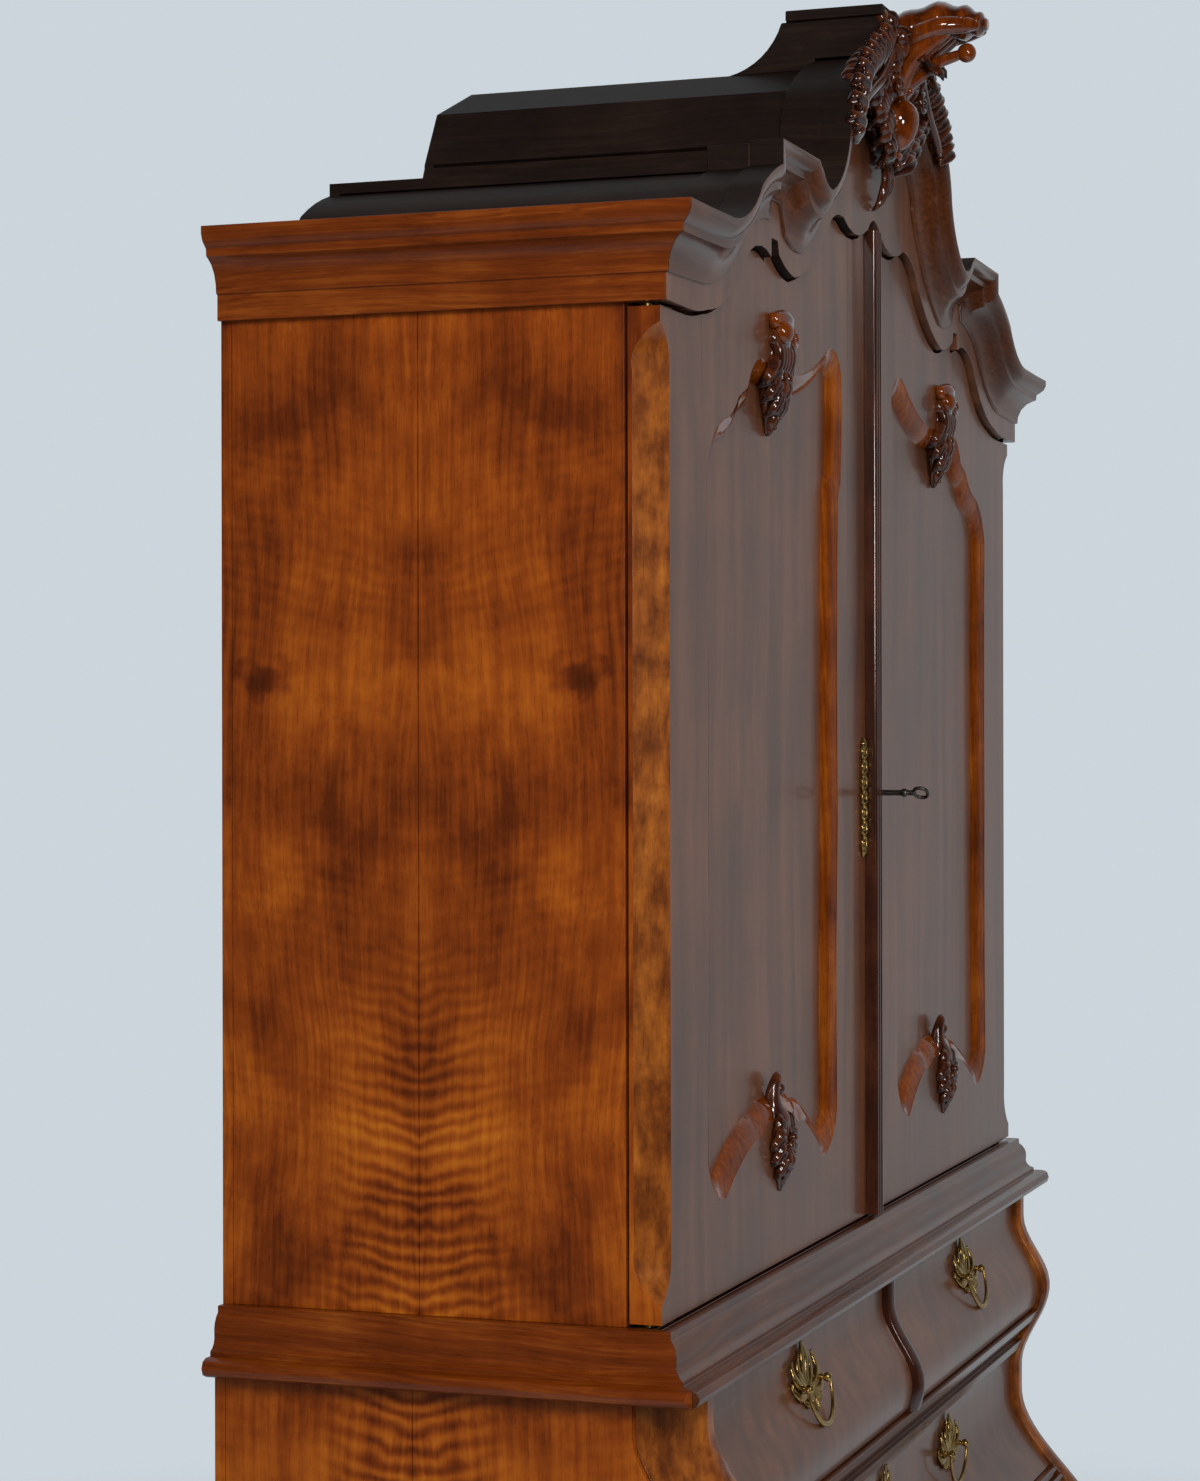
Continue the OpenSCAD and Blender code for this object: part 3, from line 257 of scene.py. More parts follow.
# Solid walnut of the side mouldings, redder than the veneer beside them
moulding_y = wood("solid_walnut_moulding_along_side",
                  [(0.3, "#3c1503"), (0.5, "#652a06"), (0.7, "#8b470f")], turn=ALONG_Y, roughness=0.28,
                  coat=0.05, shine=0.3)
# Burr walnut of the canted corners and the feet: swirls of brown and gold
burr = wood("burr_walnut", [(0.3, "#2e1303"), (0.46, "#642f06"), (0.58, "#87470c"), (0.72, "#a76319")],
            cloud_mm=52, streak_mm=(14, 50), roughness=0.28, coat=0.2)
# Polished walnut of the door panels' mouldings: a bright orange brown under a hard gloss
red_walnut = wood("polished_red_walnut", [(0.3, "#381403"), (0.5, "#672d06"), (0.7, "#904c0c")],
                  cloud_mm=90, roughness=0.12, coat=0.2, shine=0.3)
# The strip where the doors meet, the muntin, and the oak boards' edges in the gap under the doors as painted
# shade: dark under a glassy polish
dark_walnut = wood("dark_polished_walnut", [(0.3, "#1c0d08"), (0.5, "#33180e"), (0.7, "#4c2617")],
                   cloud_mm=90, roughness=0.14, coat=0.7)


def painted_hollow_shade(tree, _place, _bent, tone):
    """Paints shade into a carving's hollows and makes its ridges lighter, by how pointed its surface is."""
    hollow = add(tree, "ShaderNodeNewGeometry").outputs["Pointiness"]
    # Painted shade in the hollows, and lighter ridges
    ridges_and_hollows = add(tree, "ShaderNodeMapRange",
                 {"Value": hollow, "From Min": 0.4, "From Max": 0.6, "To Min": -0.26, "To Max": 0.2})
    return add(tree, "ShaderNodeMath", {0: tone, 1: ridges_and_hollows}, operation="ADD")


# The carvings' walnut, made nearly black in its hollows by painted shade
carved_walnut = wood("carved_walnut_under_old_polish", [(0.3, "#110603"), (0.5, "#2a1008"), (0.7, "#4c240f")],
                     cloud_mm=24, streak_mm=(6, 40), roughness=0.16, coat=0.8, figure=painted_hollow_shade)
# The carvings' smooth round forms, polished to a warm gloss by rubbing, with the same painted shade in their
# hollows
rubbed_walnut = wood("rubbed_carved_walnut", [(0.3, "#200902"), (0.5, "#421803"), (0.7, "#6c2f06")],
                     cloud_mm=40, streak_mm=(6, 60), roughness=0.1, coat=1.0, figure=painted_hollow_shade)
# Pine of the roof, the crest's block and the back, stained nearly black and left dull
stained_pine = wood("black_stained_pine", [(0.3, "#0f0907"), (0.5, "#1d120d"), (0.7, "#2c1d15")],
                    turn=ALONG_Y, roughness=0.58, coat=0.0, shine=0.2)
# Oak of the carcase, planed and left dry: pale and dull
dry_oak = wood("dry_oak", [(0.3, "#7d5b36"), (0.5, "#99744a"), (0.7, "#b08d60")], turn=ALONG_X,
               roughness=0.62, coat=0.0)


def cast_metal(name, light, dark, roughness, grain_mm):
    """Cast or forged metal, tarnished in patches that the polish left."""
    material, tree, shader = finish(name, Metallic=1.0)
    place = add(tree, "ShaderNodeTexCoord").outputs["Object"]
    grain = add(tree, "ShaderNodeTexNoise", {"Vector": place, "Scale": 1000 / grain_mm, "Detail": 4.0})
    hollow = add(tree, "ShaderNodeNewGeometry").outputs["Pointiness"]
    ridges_and_hollows = add(tree, "ShaderNodeMapRange", {"Value": hollow, "From Min": 0.42, "From Max": 0.56})
    patchy = add(tree, "ShaderNodeMath", {0: grain, 1: 0.5}, operation="SUBTRACT")
    worn = add(tree, "ShaderNodeMath", {0: patchy, 1: 1.6, 2: ridges_and_hollows}, operation="MULTIPLY_ADD")
    colour = add(tree, "ShaderNodeValToRGB", {"Fac": worn}, [(0.15, dark), (0.8, light)])
    tree.links.new(colour.outputs[0], shader.inputs["Base Color"])
    rough = add(tree, "ShaderNodeMapRange", {"Value": worn, "To Min": roughness + 0.22, "To Max": roughness})
    tree.links.new(rough.outputs[0], shader.inputs["Roughness"])
    bump = add(tree, "ShaderNodeBump", {"Height": grain, "Strength": 0.2, "Distance": 0.3 * MM})
    tree.links.new(bump.outputs[0], shader.inputs["Normal"])
    return material


# Brass handles and plates: dull gold, brown in the hollows
brass = cast_metal("aged_cast_brass", "#c2a062", "#4a3a1c", 0.26, 6)
# The lock and the key: darkened iron with a soft sheen
steel = cast_metal("darkened_forged_steel", "#6d6864", "#24211f", 0.34, 4)


def dress(material, *names):
    """Gives these CAD nodes this material."""
    for name in names:
        slots = nodes[name].data.materials
        slots.clear()
        slots.append(material)


# Making and placing pieces

def form(shape, name, *materials):
    """Turns a finished shape into an object."""
    mesh = bpy.data.meshes.new(name)
    shape.to_mesh(mesh)
    shape.free()
    for material in materials:
        mesh.materials.append(material)
    made = bpy.data.objects.new(name, mesh)
    bpy.context.scene.collection.objects.link(made)
    return made


def piece(shape, name, body, slot, *materials):
    """Turns a finished shape into a piece that rides on a body."""
    made = form(shape, name, *materials)
    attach(made, body)
    return made


def smooth(shape):
    """Closed parts face outwards and shade smoothly."""
    bmesh.ops.recalc_face_normals(shape, faces=shape.faces)
    for face in shape.faces:
        face.smooth = True


# Points within WELD are merged, faces within FLAT_ANGLE are one, and edges past SHARP_ANGLE are worn
WELD = 0.02 * MM
FLAT_ANGLE = math.radians(0.5)
SHARP_ANGLE = math.radians(32)


def ease_edges(name, worn_mm, *materials, choose=None):
    """Replaces a CAD board by a copy whose edges are worn round; choose gives a face's material from its
    normal and its middle."""
    shape = bmesh.new()
    shape.from_mesh(nodes[name].data)
    bmesh.ops.remove_doubles(shape, verts=shape.verts, dist=WELD)
    bmesh.ops.dissolve_limit(shape, angle_limit=FLAT_ANGLE, verts=shape.verts, edges=shape.edges)
    for face in shape.faces:
        face.smooth = True
        if choose:
            face.material_index = choose(face.normal, face.calc_center_median())
    for edge in shape.edges:
        edge.smooth = edge.is_manifold and edge.calc_face_angle() < SHARP_ANGLE
    made = piece(shape, name + "_wood", carrier[name], finish_slot[name], *materials)
    worn = made.modifiers.new("worn_edges", "BEVEL")
    worn.width = worn_mm * MM
    worn.segments = 2
    worn.limit_method = "ANGLE"
    worn.angle_limit = SHARP_ANGLE
    worn.harden_normals = True
    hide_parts(name)


# Carver's forms

# A smooth line has STEPS points to each stretch, a stem's half width is never under THINNEST, and a flute
# changes its width by the share FLUTE_DEPTH
STEPS = 5
THINNEST = 0.2 * MM
FLUTE_DEPTH = 0.13


def flowing(points):
    """A smooth line through points (x, y, z, half width), as such points, STEPS to each stretch."""
    ends = [points[0] * 2 - points[1]] + points + [points[-1] * 2 - points[-2]]
    line = []
    for before, here, ahead, after in zip(ends, ends[1:], ends[2:], ends[3:]):
        for step in range(STEPS):
            t = step / STEPS
            line.append(0.5 * (2 * here + (ahead - before) * t
                               + (2 * before - 5 * here + 4 * ahead - after) * t ** 2
                               + (3 * here - before - 3 * ahead + after) * t ** 3))
    return line + [points[-1]]


def stem(shape, points, flat=1.0, flutes=0, sides=10, facing=OUTWARDS):
    """Sweeps a tapering round section along a smooth line: a scroll's rib, a stalk or a wire. flutes are
    notches round it, as on a shell; flat is its thickness along facing as a share of its width."""
    line = flowing([Vector(p) for p in points])
    last = len(line) - 1
    ring = bmesh.ops.create_circle(shape, segments=sides, radius=1.0)["verts"]
    edges = {edge for vert in ring for edge in vert.link_edges}
    bmesh.ops.edgeloop_fill(shape, edges=list(edges))
    placed = Matrix.Identity(4)
    for i, station in enumerate(line):
        if i:
            grown = bmesh.ops.extrude_edge_only(shape, edges=list(edges))["geom"]
            ring = [part for part in grown if isinstance(part, bmesh.types.BMVert)]
            edges = {part for part in grown if isinstance(part, bmesh.types.BMEdge)}
        ahead = (line[min(i + 1, last)] - line[max(i - 1, 0)]).to_3d().normalized()
        side = ahead.cross(facing).normalized()
        out = side.cross(ahead)
        notch = 1
        if flutes:
            notch += FLUTE_DEPTH * min(1, 2 * i / last) * math.cos(2 * math.pi * flutes * i / last)
        width = max(station.w, THINNEST) * notch
        turn = Matrix((side * width, out * width * flat, ahead)).transposed().to_4x4()
        here = Matrix.Translation(station.to_3d()) @ turn
        bmesh.ops.transform(shape, matrix=here @ placed.inverted(), verts=ring)
        placed = here
    bmesh.ops.edgeloop_fill(shape, edges=list(edges))


# How high a leaf's lobes swell over its midrib, as a share of its half width
LEAF_CUP = 0.55


def leaf(shape, points, lobes=4, thick=4.0, facing=OUTWARDS):
    """A carved leaf along a smooth line: a lobed outline, a sunk midrib and raised lobes, thick in
    millimetres."""
    line = flowing([Vector(p) for p in points])
    last = len(line) - 1
    grid = bmesh.ops.create_grid(shape, x_segments=8, y_segments=2 * last, size=1.0)["verts"]
    for vert in grid:
        across, t = vert.co.x, (vert.co.y + 1) / 2
        i = min(int(t * last), last - 1)
        station = line[i].lerp(line[i + 1], t * last - i)
        ahead = (line[min(i + 2, last)] - line[max(i - 1, 0)]).to_3d().normalized()
        side = ahead.cross(facing).normalized()
        lobe = abs(math.sin(math.pi * lobes * t))
        reach = across * station.w * (0.86 + 0.26 * lobe)
        arch = math.sin(math.pi * abs(across)) * (0.7 + 0.25 * lobe) - 0.6 * across ** 2
        swell = station.w * LEAF_CUP * arch
        vert.co = station.to_3d() + side * reach + side.cross(ahead) * swell
    faces = list({face for vert in grid for face in vert.link_faces})
    grown = bmesh.ops.extrude_face_region(shape, geom=faces, use_keep_orig=True)["geom"]
    back = [part for part in grown if isinstance(part, bmesh.types.BMVert)]
    bmesh.ops.translate(shape, verts=back, vec=facing * -thick * MM)


def bud(shape, centre, radii, pinch=0.0):
    """A swelling bud or bead, narrowed by pinch towards its lower end."""
    ball = bmesh.ops.create_uvsphere(shape, u_segments=16, v_segments=10, radius=1.0)["verts"]
    wide, deep, high = radii
    for vert in ball:
        x, y, z = vert.co
        narrow = 1 - pinch * (0.5 - 0.5 * z)
        vert.co = centre + Vector((x * wide * narrow, y * deep * narrow, z * high)) * MM


VOLUTE_TURNS = 1.2
VOLUTE_STEPS = 10


def volute(shape, centre, radius, wire, start=0.0, hand=1):
    """A scroll that winds in to a small eye, seen from the front; wire is its half width."""
    points = []
    for i in range(VOLUTE_STEPS + 1):
        t = i / VOLUTE_STEPS
        angle = start + hand * 2 * math.pi * VOLUTE_TURNS * t
        r = radius * (1 - 0.82 * t)
        middle = centre + Vector((r * math.cos(angle), -0.25 * radius * t, r * math.sin(angle))) * MM
        points.append((*middle, wire * (1 - 0.45 * t) * MM))
    stem(shape, points)
    bud(shape, Vector(points[-1][:3]), (wire * 0.9,) * 3)


def carved(*points):
    """Points (x, y, z, half width) in millimetres from the doors' face and the waist, as a line's points."""
    return [(*at(x, y, z), w * MM) for x, y, z, w in points]


# Crest: a fluted shell that breaks forward over a glossy bulb, between leaves that follow the arch

# Where the cornice's outline runs beside the crest, as (x, z); leaves are set along it
BESIDE_CREST = [(104, 1442), (126, 1430), (148, 1422), (170, 1411), (190, 1399), (208, 1384), (224, 1364),
                (236, 1342), (245, 1318)]


def crest_shell(shape):
    """The shell with its ribs, and the ball on a stalk under its lip."""
    stem(shape, carved((0, -34, 1464, 40), (0, -62, 1477, 42), (0, -98, 1487, 37), (0, -128, 1485, 29),
                       (0, -146, 1482, 20), (0, -154, 1481, 9)), flat=0.66, flutes=5, sides=24,
         facing=UPWARDS)
    for x in (-30, -15, 0, 15, 30):
        drop = abs(x) * 0.3
        stem(shape, carved((x * 0.5, -40, 1440, 6), (x * 1.15, -62, 1461, 10),
                           (x * 1.2, -98, 1484 - drop, 12), (x * 0.8, -130, 1487 - drop, 10),
                           (x * 0.5, -146, 1478, 6)), facing=UPWARDS)
    stem(shape, carved((-4, -50, 1410, 9), (-3, -74, 1426, 9), (-2, -92, 1438, 8), (-1, -111, 1444, 7),
                       (0, -124, 1448, 6)), facing=UPWARDS)
    bud(shape, at(0, -128, 1448), (12, 12, 12))
    for x in (-26, -11, 8, 23):
        stem(shape, carved((x * 0.3, -42, 1396, 9), (x * 0.8, -56, 1426, 12), (x * 1.1, -76, 1452, 13),
                           (x, -108, 1474, 10)), facing=UPWARDS)
    bud(shape, at(-6, -42, 1363), (29, 31, 33), pinch=0.3)
    bud(shape, at(-3, -53, 1424), (11, 10, 9))
    stem(shape, carved((0, -44, 1420, 8), (-2, -34, 1412, 8), (-4, -46, 1402, 7), (-5, -60, 1406, 5)))
    bud(shape, at(0, -38, 1325), (13, 8, 6))


def crest_sprays(shape):
    """The leaves under the shell, the calyx that holds the bulb, and the sprays that hang below it."""
    for x, y, z in ((-15, -102, 1417), (12, -89, 1407), (26, -96, 1428), (-28, -88, 1432)):
        leaf(shape, carved((x * 0.3, -46, 1440, 8), (x * 0.8, -70, 1446, 14), (x, y + 6, z + 8, 9),
                           (x, y, z, 3)), lobes=2, facing=UPWARDS)
    for turn in range(-2, 3):
        x = 14 * turn
        leaf(shape, carved((x * 0.3 - 2, -26, 1322, 6), (x * 0.9 - 2, -38, 1330, 9),
                           (x * 1.4 - 2, -44, 1342, 8), (x * 1.7 - 2, -44, 1352, 2)), lobes=2)
    bud(shape, at(0, -40, 1313), (6, 6, 6))
    for x, y, z, w in ((-16, -19, 1256, 8), (12, -24, 1274, 8), (-1, -20, 1262, 6)):
        leaf(shape, carved((x * 0.3, -26, 1326, w * 0.5), (x * 0.7, -30, (1326 + z) / 2, w),
                           (x, y - 4, z + 10, w * 0.6), (x * 1.1, y + 4, z, 1)), lobes=3)


def crest_leaves(shape, side, reach):
    """One side's scales over the block, the ribbon down the arch's flank and the leaves along its top; reach
    is how many of the places in BESIDE_CREST have leaves."""
    # The mass that the scales are cut from
    stem(shape, carved((side * 24, -22, 1356, 24), (side * 52, -28, 1388, 34), (side * 92, -26, 1404, 30),
                       (side * 140, -24, 1392, 18), (side * 176, -22, 1372, 12)), flat=0.55, sides=16)
    stem(shape, carved((side * 40, -28, 1400, 20), (side * 66, -30, 1440, 34), (side * 74, -30, 1474, 26)),
         flat=0.55, sides=16)
    # Scales that overlap from the bulb out to the ribbon
    for x, y, z, w in ((32, -36, 1338, 14), (50, -38, 1360, 16), (70, -38, 1384, 17), (50, -46, 1408, 17),
                       (84, -42, 1412, 17), (62, -50, 1434, 18), (90, -44, 1444, 16), (48, -58, 1458, 16),
                       (76, -50, 1472, 16)):
        leaf(shape, carved((side * (x - 20), y + 12, z - 24, w * 0.5), (side * (x - 6), y - 3, z - 6, w),
                           (side * (x + 6), y - 4, z + 8, w * 0.8),
                           (side * (x + 12), y + 8, z + 16, 2)), lobes=2)
    ribbon = [(50, -54, 1452, 7), (70, -52, 1440, 8), (118, -51, 1400, 7), (158, -50, 1379, 7),
              (190, -49, 1360, 6), (214, -47, 1330, 5), (222, -44, 1306, 3)]
    stem(shape, carved(*((side * x, y, z, w) for x, y, z, w in ribbon[:reach - 2])), flat=0.7)
    for x, z, w in ((48, 1326, 14), (70, 1346, 15), (94, 1366, 15), (118, 1382, 14)):
        leaf(shape, carved((side * (x - 18), -24, z - 18, w * 0.5), (side * (x - 4), -44, z - 4, w),
                           (side * (x + 8), -46, z + 6, w * 0.8), (side * (x + 16), -38, z + 14, 2)), lobes=2)
    volute(shape, at(side * 62, -56, 1400), 13, 5, hand=side, start=math.pi / 2)
    bud(shape, at(side * 97, -44, 1478), (10, 9, 11))
    bud(shape, at(side * 101, -44, 1450), (9, 9, 10))
    # Each leaf along the arch's top grows out from under the one above and laps over the edge
    for i, (x, z) in enumerate(BESIDE_CREST[:reach]):
        fall = i / (len(BESIDE_CREST) - 1)
        lean = 6 + 10 * fall
        rise = 16 - 10 * fall
        leaf(shape, carved((side * (x - 20), -46, z - 14, 9), (side * (x - 4), -56, z + rise * 0.4, 15),
                           (side * (x + lean * 0.6), -54, z + rise, 12),
                           (side * (x + lean), -46, z + rise * 0.7, 3)), lobes=2)
        leaf(shape, carved((side * (x - 14), -50, z - 6, 10), (side * (x - 3), -40, z + 1, 15),
                           (side * x, -30, z + 2, 14), (side * x, -22, z - 2, 5)),
             lobes=1, facing=Vector((side * (0.3 + 0.5 * fall), 0.0, 0.8)))


def crest_carving():
    """The whole crest; its shell and bulb are of the rubbed walnut."""
    shape = bmesh.new()
    crest_shell(shape)
    for face in shape.faces:
        face.material_index = 1
    crest_sprays(shape)
    crest_leaves(shape, -1, len(BESIDE_CREST))
    # Seen from the front, the right side's ribbon and leaves end higher up
    crest_leaves(shape, 1, len(BESIDE_CREST) - 2)
    smooth(shape)
    made = piece(shape, "carved_crest", "case", "carved_walnut", carved_walnut, rubbed_walnut)
    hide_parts("crest_carving")


# Door carvings: a cap and bud over hanging leaves at the top, a curled bud over leaves at the foot

# The carvings' middle is this far from the middle of the press
DOOR_CARVING_X = 405


def door_carvings(side, name):
    """One door's two carvings; side is -1 for the left door and 1 for the right one."""
    shape = bmesh.new()

    def around(*points):
        return carved(*((side * DOOR_CARVING_X + x, y, z, w) for x, y, z, w in points))

    def spot(x, y, z):
        return at(side * DOOR_CARVING_X + x, y, z)

    # A rubbed ball on one side of the cap and a curl on the other
    bud(shape, spot(-17, -12, 1057), (15, 12, 14))
    stem(shape, around((-36, -4, 1068, 9), (-16, -9, 1073, 10), (8, -9, 1073, 10), (32, -4, 1067, 8)),
         flat=0.9)
    volute(shape, spot(22, -12, 1056), 12, 5, hand=-1)
    for face in shape.faces:
        face.material_index = 1
    # The fluted cap on the door's face, and the mass that its leaves are cut from
    stem(shape, around((-34, -1, 1052, 9), (-16, -3, 1048, 13), (8, -3, 1048, 13), (32, -1, 1052, 9)),
         flat=0.9)
    stem(shape, around((0, 1, 1050, 30), (0, 2, 1030, 27), (0, 5, 1008, 33), (0, 8, 984, 28),
                       (0, 11, 962, 14), (0, 13, 944, 4)), flat=0.4, sides=16)
    for x in (-26, -13, 0, 13, 26):
        stem(shape, around((x, -6, 1046, 6), (x * 0.9, -9, 1034, 7), (x * 0.8, -7, 1020, 7),
                           (x * 0.9, -2, 1006, 4)))
    # Leaves that run down over the moulding on to the sunk panel
    for x, z, w in ((-36, 1000, 14), (36, 1002, 14), (-28, 984, 13), (27, 985, 13), (-17, 968, 10),
                    (16, 968, 10)):
        leaf(shape, around((x * 0.2, -4, z + 26, w * 0.6), (x * 0.7, -7, z + 16, w), (x, -3, z + 2, w * 0.7),
                           (x * 1.08, 8, z - 7, 1)), lobes=2)
    leaf(shape, around((0, -6, 1020, 8), (0, -10, 1000, 15), (0, -3, 974, 13), (0, 6, 952, 7),
                       (0, 10, 942, 1)), lobes=5)
    for i in range(6):
        bud(shape, spot(3 - 4 * (i % 2), -12 + 3 * i, 1006 - 11 * i), (6 - 0.6 * i,) * 3)
    # The foot carving grows the other way up: a curled tip and a bud on the panel, over leaves on the face
    stem(shape, around((9, 6, 202, 5), (6, 3, 213, 6), (-2, 2, 212, 7), (-7, 5, 198, 9), (-6, 6, 182, 13),
                       (-3, 4, 166, 20), (0, 0, 150, 14)), flat=0.9)
    bud(shape, spot(9, 1, 200), (7, 6, 7))
    stem(shape, around((0, 2, 160, 22), (0, -1, 140, 34), (0, -1, 122, 28), (0, -1, 104, 16), (0, -1, 86, 4)),
         flat=0.35, sides=16)
    for x in (-13, 0, 13):
        leaf(shape, around((x * 0.8, -2, 138, 8), (x * 1.5, -9, 152, 11), (x * 1.3, -9, 166, 8),
                           (x, -4, 176, 1)), lobes=2)
    for x, z, w in ((-33, 142, 10), (33, 140, 10), (-30, 126, 10), (30, 124, 10), (-19, 110, 8),
                    (19, 108, 8)):
        leaf(shape, around((x * 0.2, -4, z + 14, w * 0.6), (x * 0.7, -12, z + 7, w), (x, -8, z - 3, w * 0.7),
                           (x * 1.08, -3, z - 10, 1)), lobes=2)
    leaf(shape, around((0, -5, 142, 7), (0, -14, 122, 11), (0, -8, 102, 8), (0, -2, 85, 1)), lobes=4)
    for i in range(5):
        bud(shape, spot(3 - 4 * (i % 2), -16 + 2 * i, 146 - 9 * i), (6 - 0.6 * i,) * 3)
    smooth(shape)
    made = piece(shape, name + "_carved", carrier[name], "carved_walnut", carved_walnut, rubbed_walnut)
    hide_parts(name)


# Brasses

# Fronds of a handle's back plate on its right half: points (across, up, out from the wood, half width)
HANDLE_FRONDS = [
    [(3, -4, 3, 4), (5, 10, 6, 5), (8, 26, 7, 5), (4, 38, 5, 4), (1, 46, 3, 2)],
    [(5, -6, 3, 4), (16, 4, 6, 5), (24, 16, 6, 5), (20, 28, 5, 4), (14, 30, 4, 2)],
    [(6, -8, 3, 4), (28, -3, 6, 6), (42, 8, 7, 6), (44, 22, 5, 4), (39, 29, 4, 2)],
    [(8, -8, 3, 4), (26, -12, 4, 5), (44, -9, 5, 5), (54, 0, 4, 3), (52, 8, 3, 2)],
    [(4, -8, 3, 4), (14, -16, 4, 5), (26, -20, 4, 4), (33, -16, 3, 2)],
    [(2, -6, 3, 4), (6, -18, 4, 4), (3, -30, 3, 2)]]
# Fronds of a keyhole plate, drawn the same way
KEY_FRONDS = [
    [(4, -2, 2, 3), (7, 10, 4, 4), (9, 22, 4, 3), (3, 29, 2, 2)],
    [(5, -4, 2, 3), (14, 3, 4, 4), (19, 12, 3, 3), (14, 18, 2, 2)],
    [(5, -8, 2, 3), (14, -8, 4, 4), (20, -14, 3, 3), (15, -21, 2, 2)],
    [(4, -10, 2, 3), (7, -18, 3, 4), (3, -28, 2, 2)]]
# A bail's posts stand this far from its middle
POST_X = 38
# A keyhole's middle is this far below its drawer front's top
KEY_DROP = 40.5
# Half the thickness of a bail's wire in the CAD model
BAIL_RADIUS = 2.8 * MM


def surface(name):
    """A CAD node's surface, to lay brasses on."""
    mesh = nodes[name].data
    return BVHTree.FromPolygons([v.co for v in mesh.vertices], [p.vertices for p in mesh.polygons])


drawer_faces = {drawer + "_front": surface(drawer + "_front")
                for drawer in ("top_left_drawer", "top_right_drawer", "middle_drawer", "bottom_drawer")}


# A place in front of every drawer
AHEAD_Y = -1.0


def face_of(front, x, z):
    """Y of a drawer front's face at a place in metres."""
    return drawer_faces[front].ray_cast(Vector((x, AHEAD_Y, z)), -OUTWARDS)[0].y


def fronds(shape, front, centre_x, centre_z, lines):
    """Cast leafy ribs on both sides of a middle line, lying on the curved drawer front."""
    for side in (-1, 1):
        for line in lines:
            points = []
            for across, up, out, width in line:
                x = centre_x + side * across * MM
                z = centre_z + up * MM
                points.append((x, face_of(front, x, z) - out * MM, z, width * MM))
            stem(shape, points, flat=0.55, sides=8)


def turned(shape, base, tip, outline):
    """A turned boss from base to tip, with its outline as (share of the way, radius in millimetres)."""
    way = tip - base
    stem(shape, [(*(base + way * share), radius * MM) for share, radius in outline], sides=14, facing=UPWARDS)


def handle(shape, front, bail):
    """A handle's leafy plate with its rib up the middle, and the two posts that its bail hangs from."""
    hang = pivot[bail + "_swing"]
    fronds(shape, front, hang.x, hang.z, HANDLE_FRONDS)
    rib = []
    for up, width in ((-22, 5), (-6, 12), (14, 12), (34, 8), (44, 3)):
        z = hang.z + up * MM
        rib.append((hang.x, face_of(front, hang.x, z) - 3 * MM, z, width * MM))
    stem(shape, rib, flat=0.25, sides=12)
    for side in (-1, 1):
        x = hang.x + side * POST_X * MM
        foot = Vector((x, face_of(front, x, hang.z), hang.z))
        head = Vector((x, hang.y, hang.z))
        turned(shape, foot, head, [(0, 9), (0.12, 8), (0.25, 4.5), (0.55, 3.4), (0.72, 4)])
        bud(shape, head, (5.6, 5.4, 5.6))


def keyhole_plate(shape, front, centre_z):
    """A leafy plate round a long drawer's keyhole, with a rim on both sides of the hole."""
    fronds(shape, front, 0.0, centre_z, KEY_FRONDS)
    for side in (-1, 1):
        rim = []
        for across, up in ((1, 6), (5, 1), (4.5, -6), (4, -13), (1, -16)):
            z = centre_z + up * MM
            rim.append((side * across * MM, face_of(front, 0.0, z) - 2.5 * MM, z, 2.5 * MM))
        stem(shape, rim, flat=0.7, sides=8)


def drawer_brasses(name, bails, with_keyhole):
    """One drawer's handle plates and posts, and a long drawer's keyhole plate."""
    shape = bmesh.new()
    front = name + "_front"
    for bail in bails:
        handle(shape, front, bail)
    if with_keyhole:
        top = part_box(front)[1].z
        keyhole_plate(shape, front, top - KEY_DROP * MM)
    smooth(shape)
    made = piece(shape, name + "_cast_brasses", name, "aged_brass", brass)
    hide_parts(name + "_brasses")


def bail_wire(name):
    """A bail: a wire that swells towards its lowest point, with a collar beside each post."""
    hang = pivot[name + "_swing"]
    low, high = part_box(name)
    radius = (high.x - low.x) / 2 - BAIL_RADIUS
    # The lowest point of the CAD wire tells how far the bail leans out at rest
    lean = math.atan2(hang.y - low.y - BAIL_RADIUS, hang.z - low.z - BAIL_RADIUS)
    shape = bmesh.new()
    points = []
    stretches = 12
    for i in range(stretches + 1):
        angle = math.pi * i / stretches
        drop = radius * math.sin(angle)
        thick = 2.0 + 1.4 * math.sin(angle) ** 3
        points.append((hang.x - radius * math.cos(angle), hang.y - drop * math.sin(lean),
                       hang.z - drop * math.cos(lean), thick * MM))
    stem(shape, points, sides=12)
    for side in (-1, 1):
        hook = Vector((hang.x + side * radius, hang.y, hang.z))
        turned(shape, hook, hook - Vector((side * 9 * MM, 0.0, 0.0)), [(0, 2.6), (0.5, 2.8), (1, 2.4)])
        bud(shape, hook, (3.6, 3.4, 3.4))
    smooth(shape)
    made = piece(shape, name + "_wire", carrier[name], "aged_brass", brass)
    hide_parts(name)


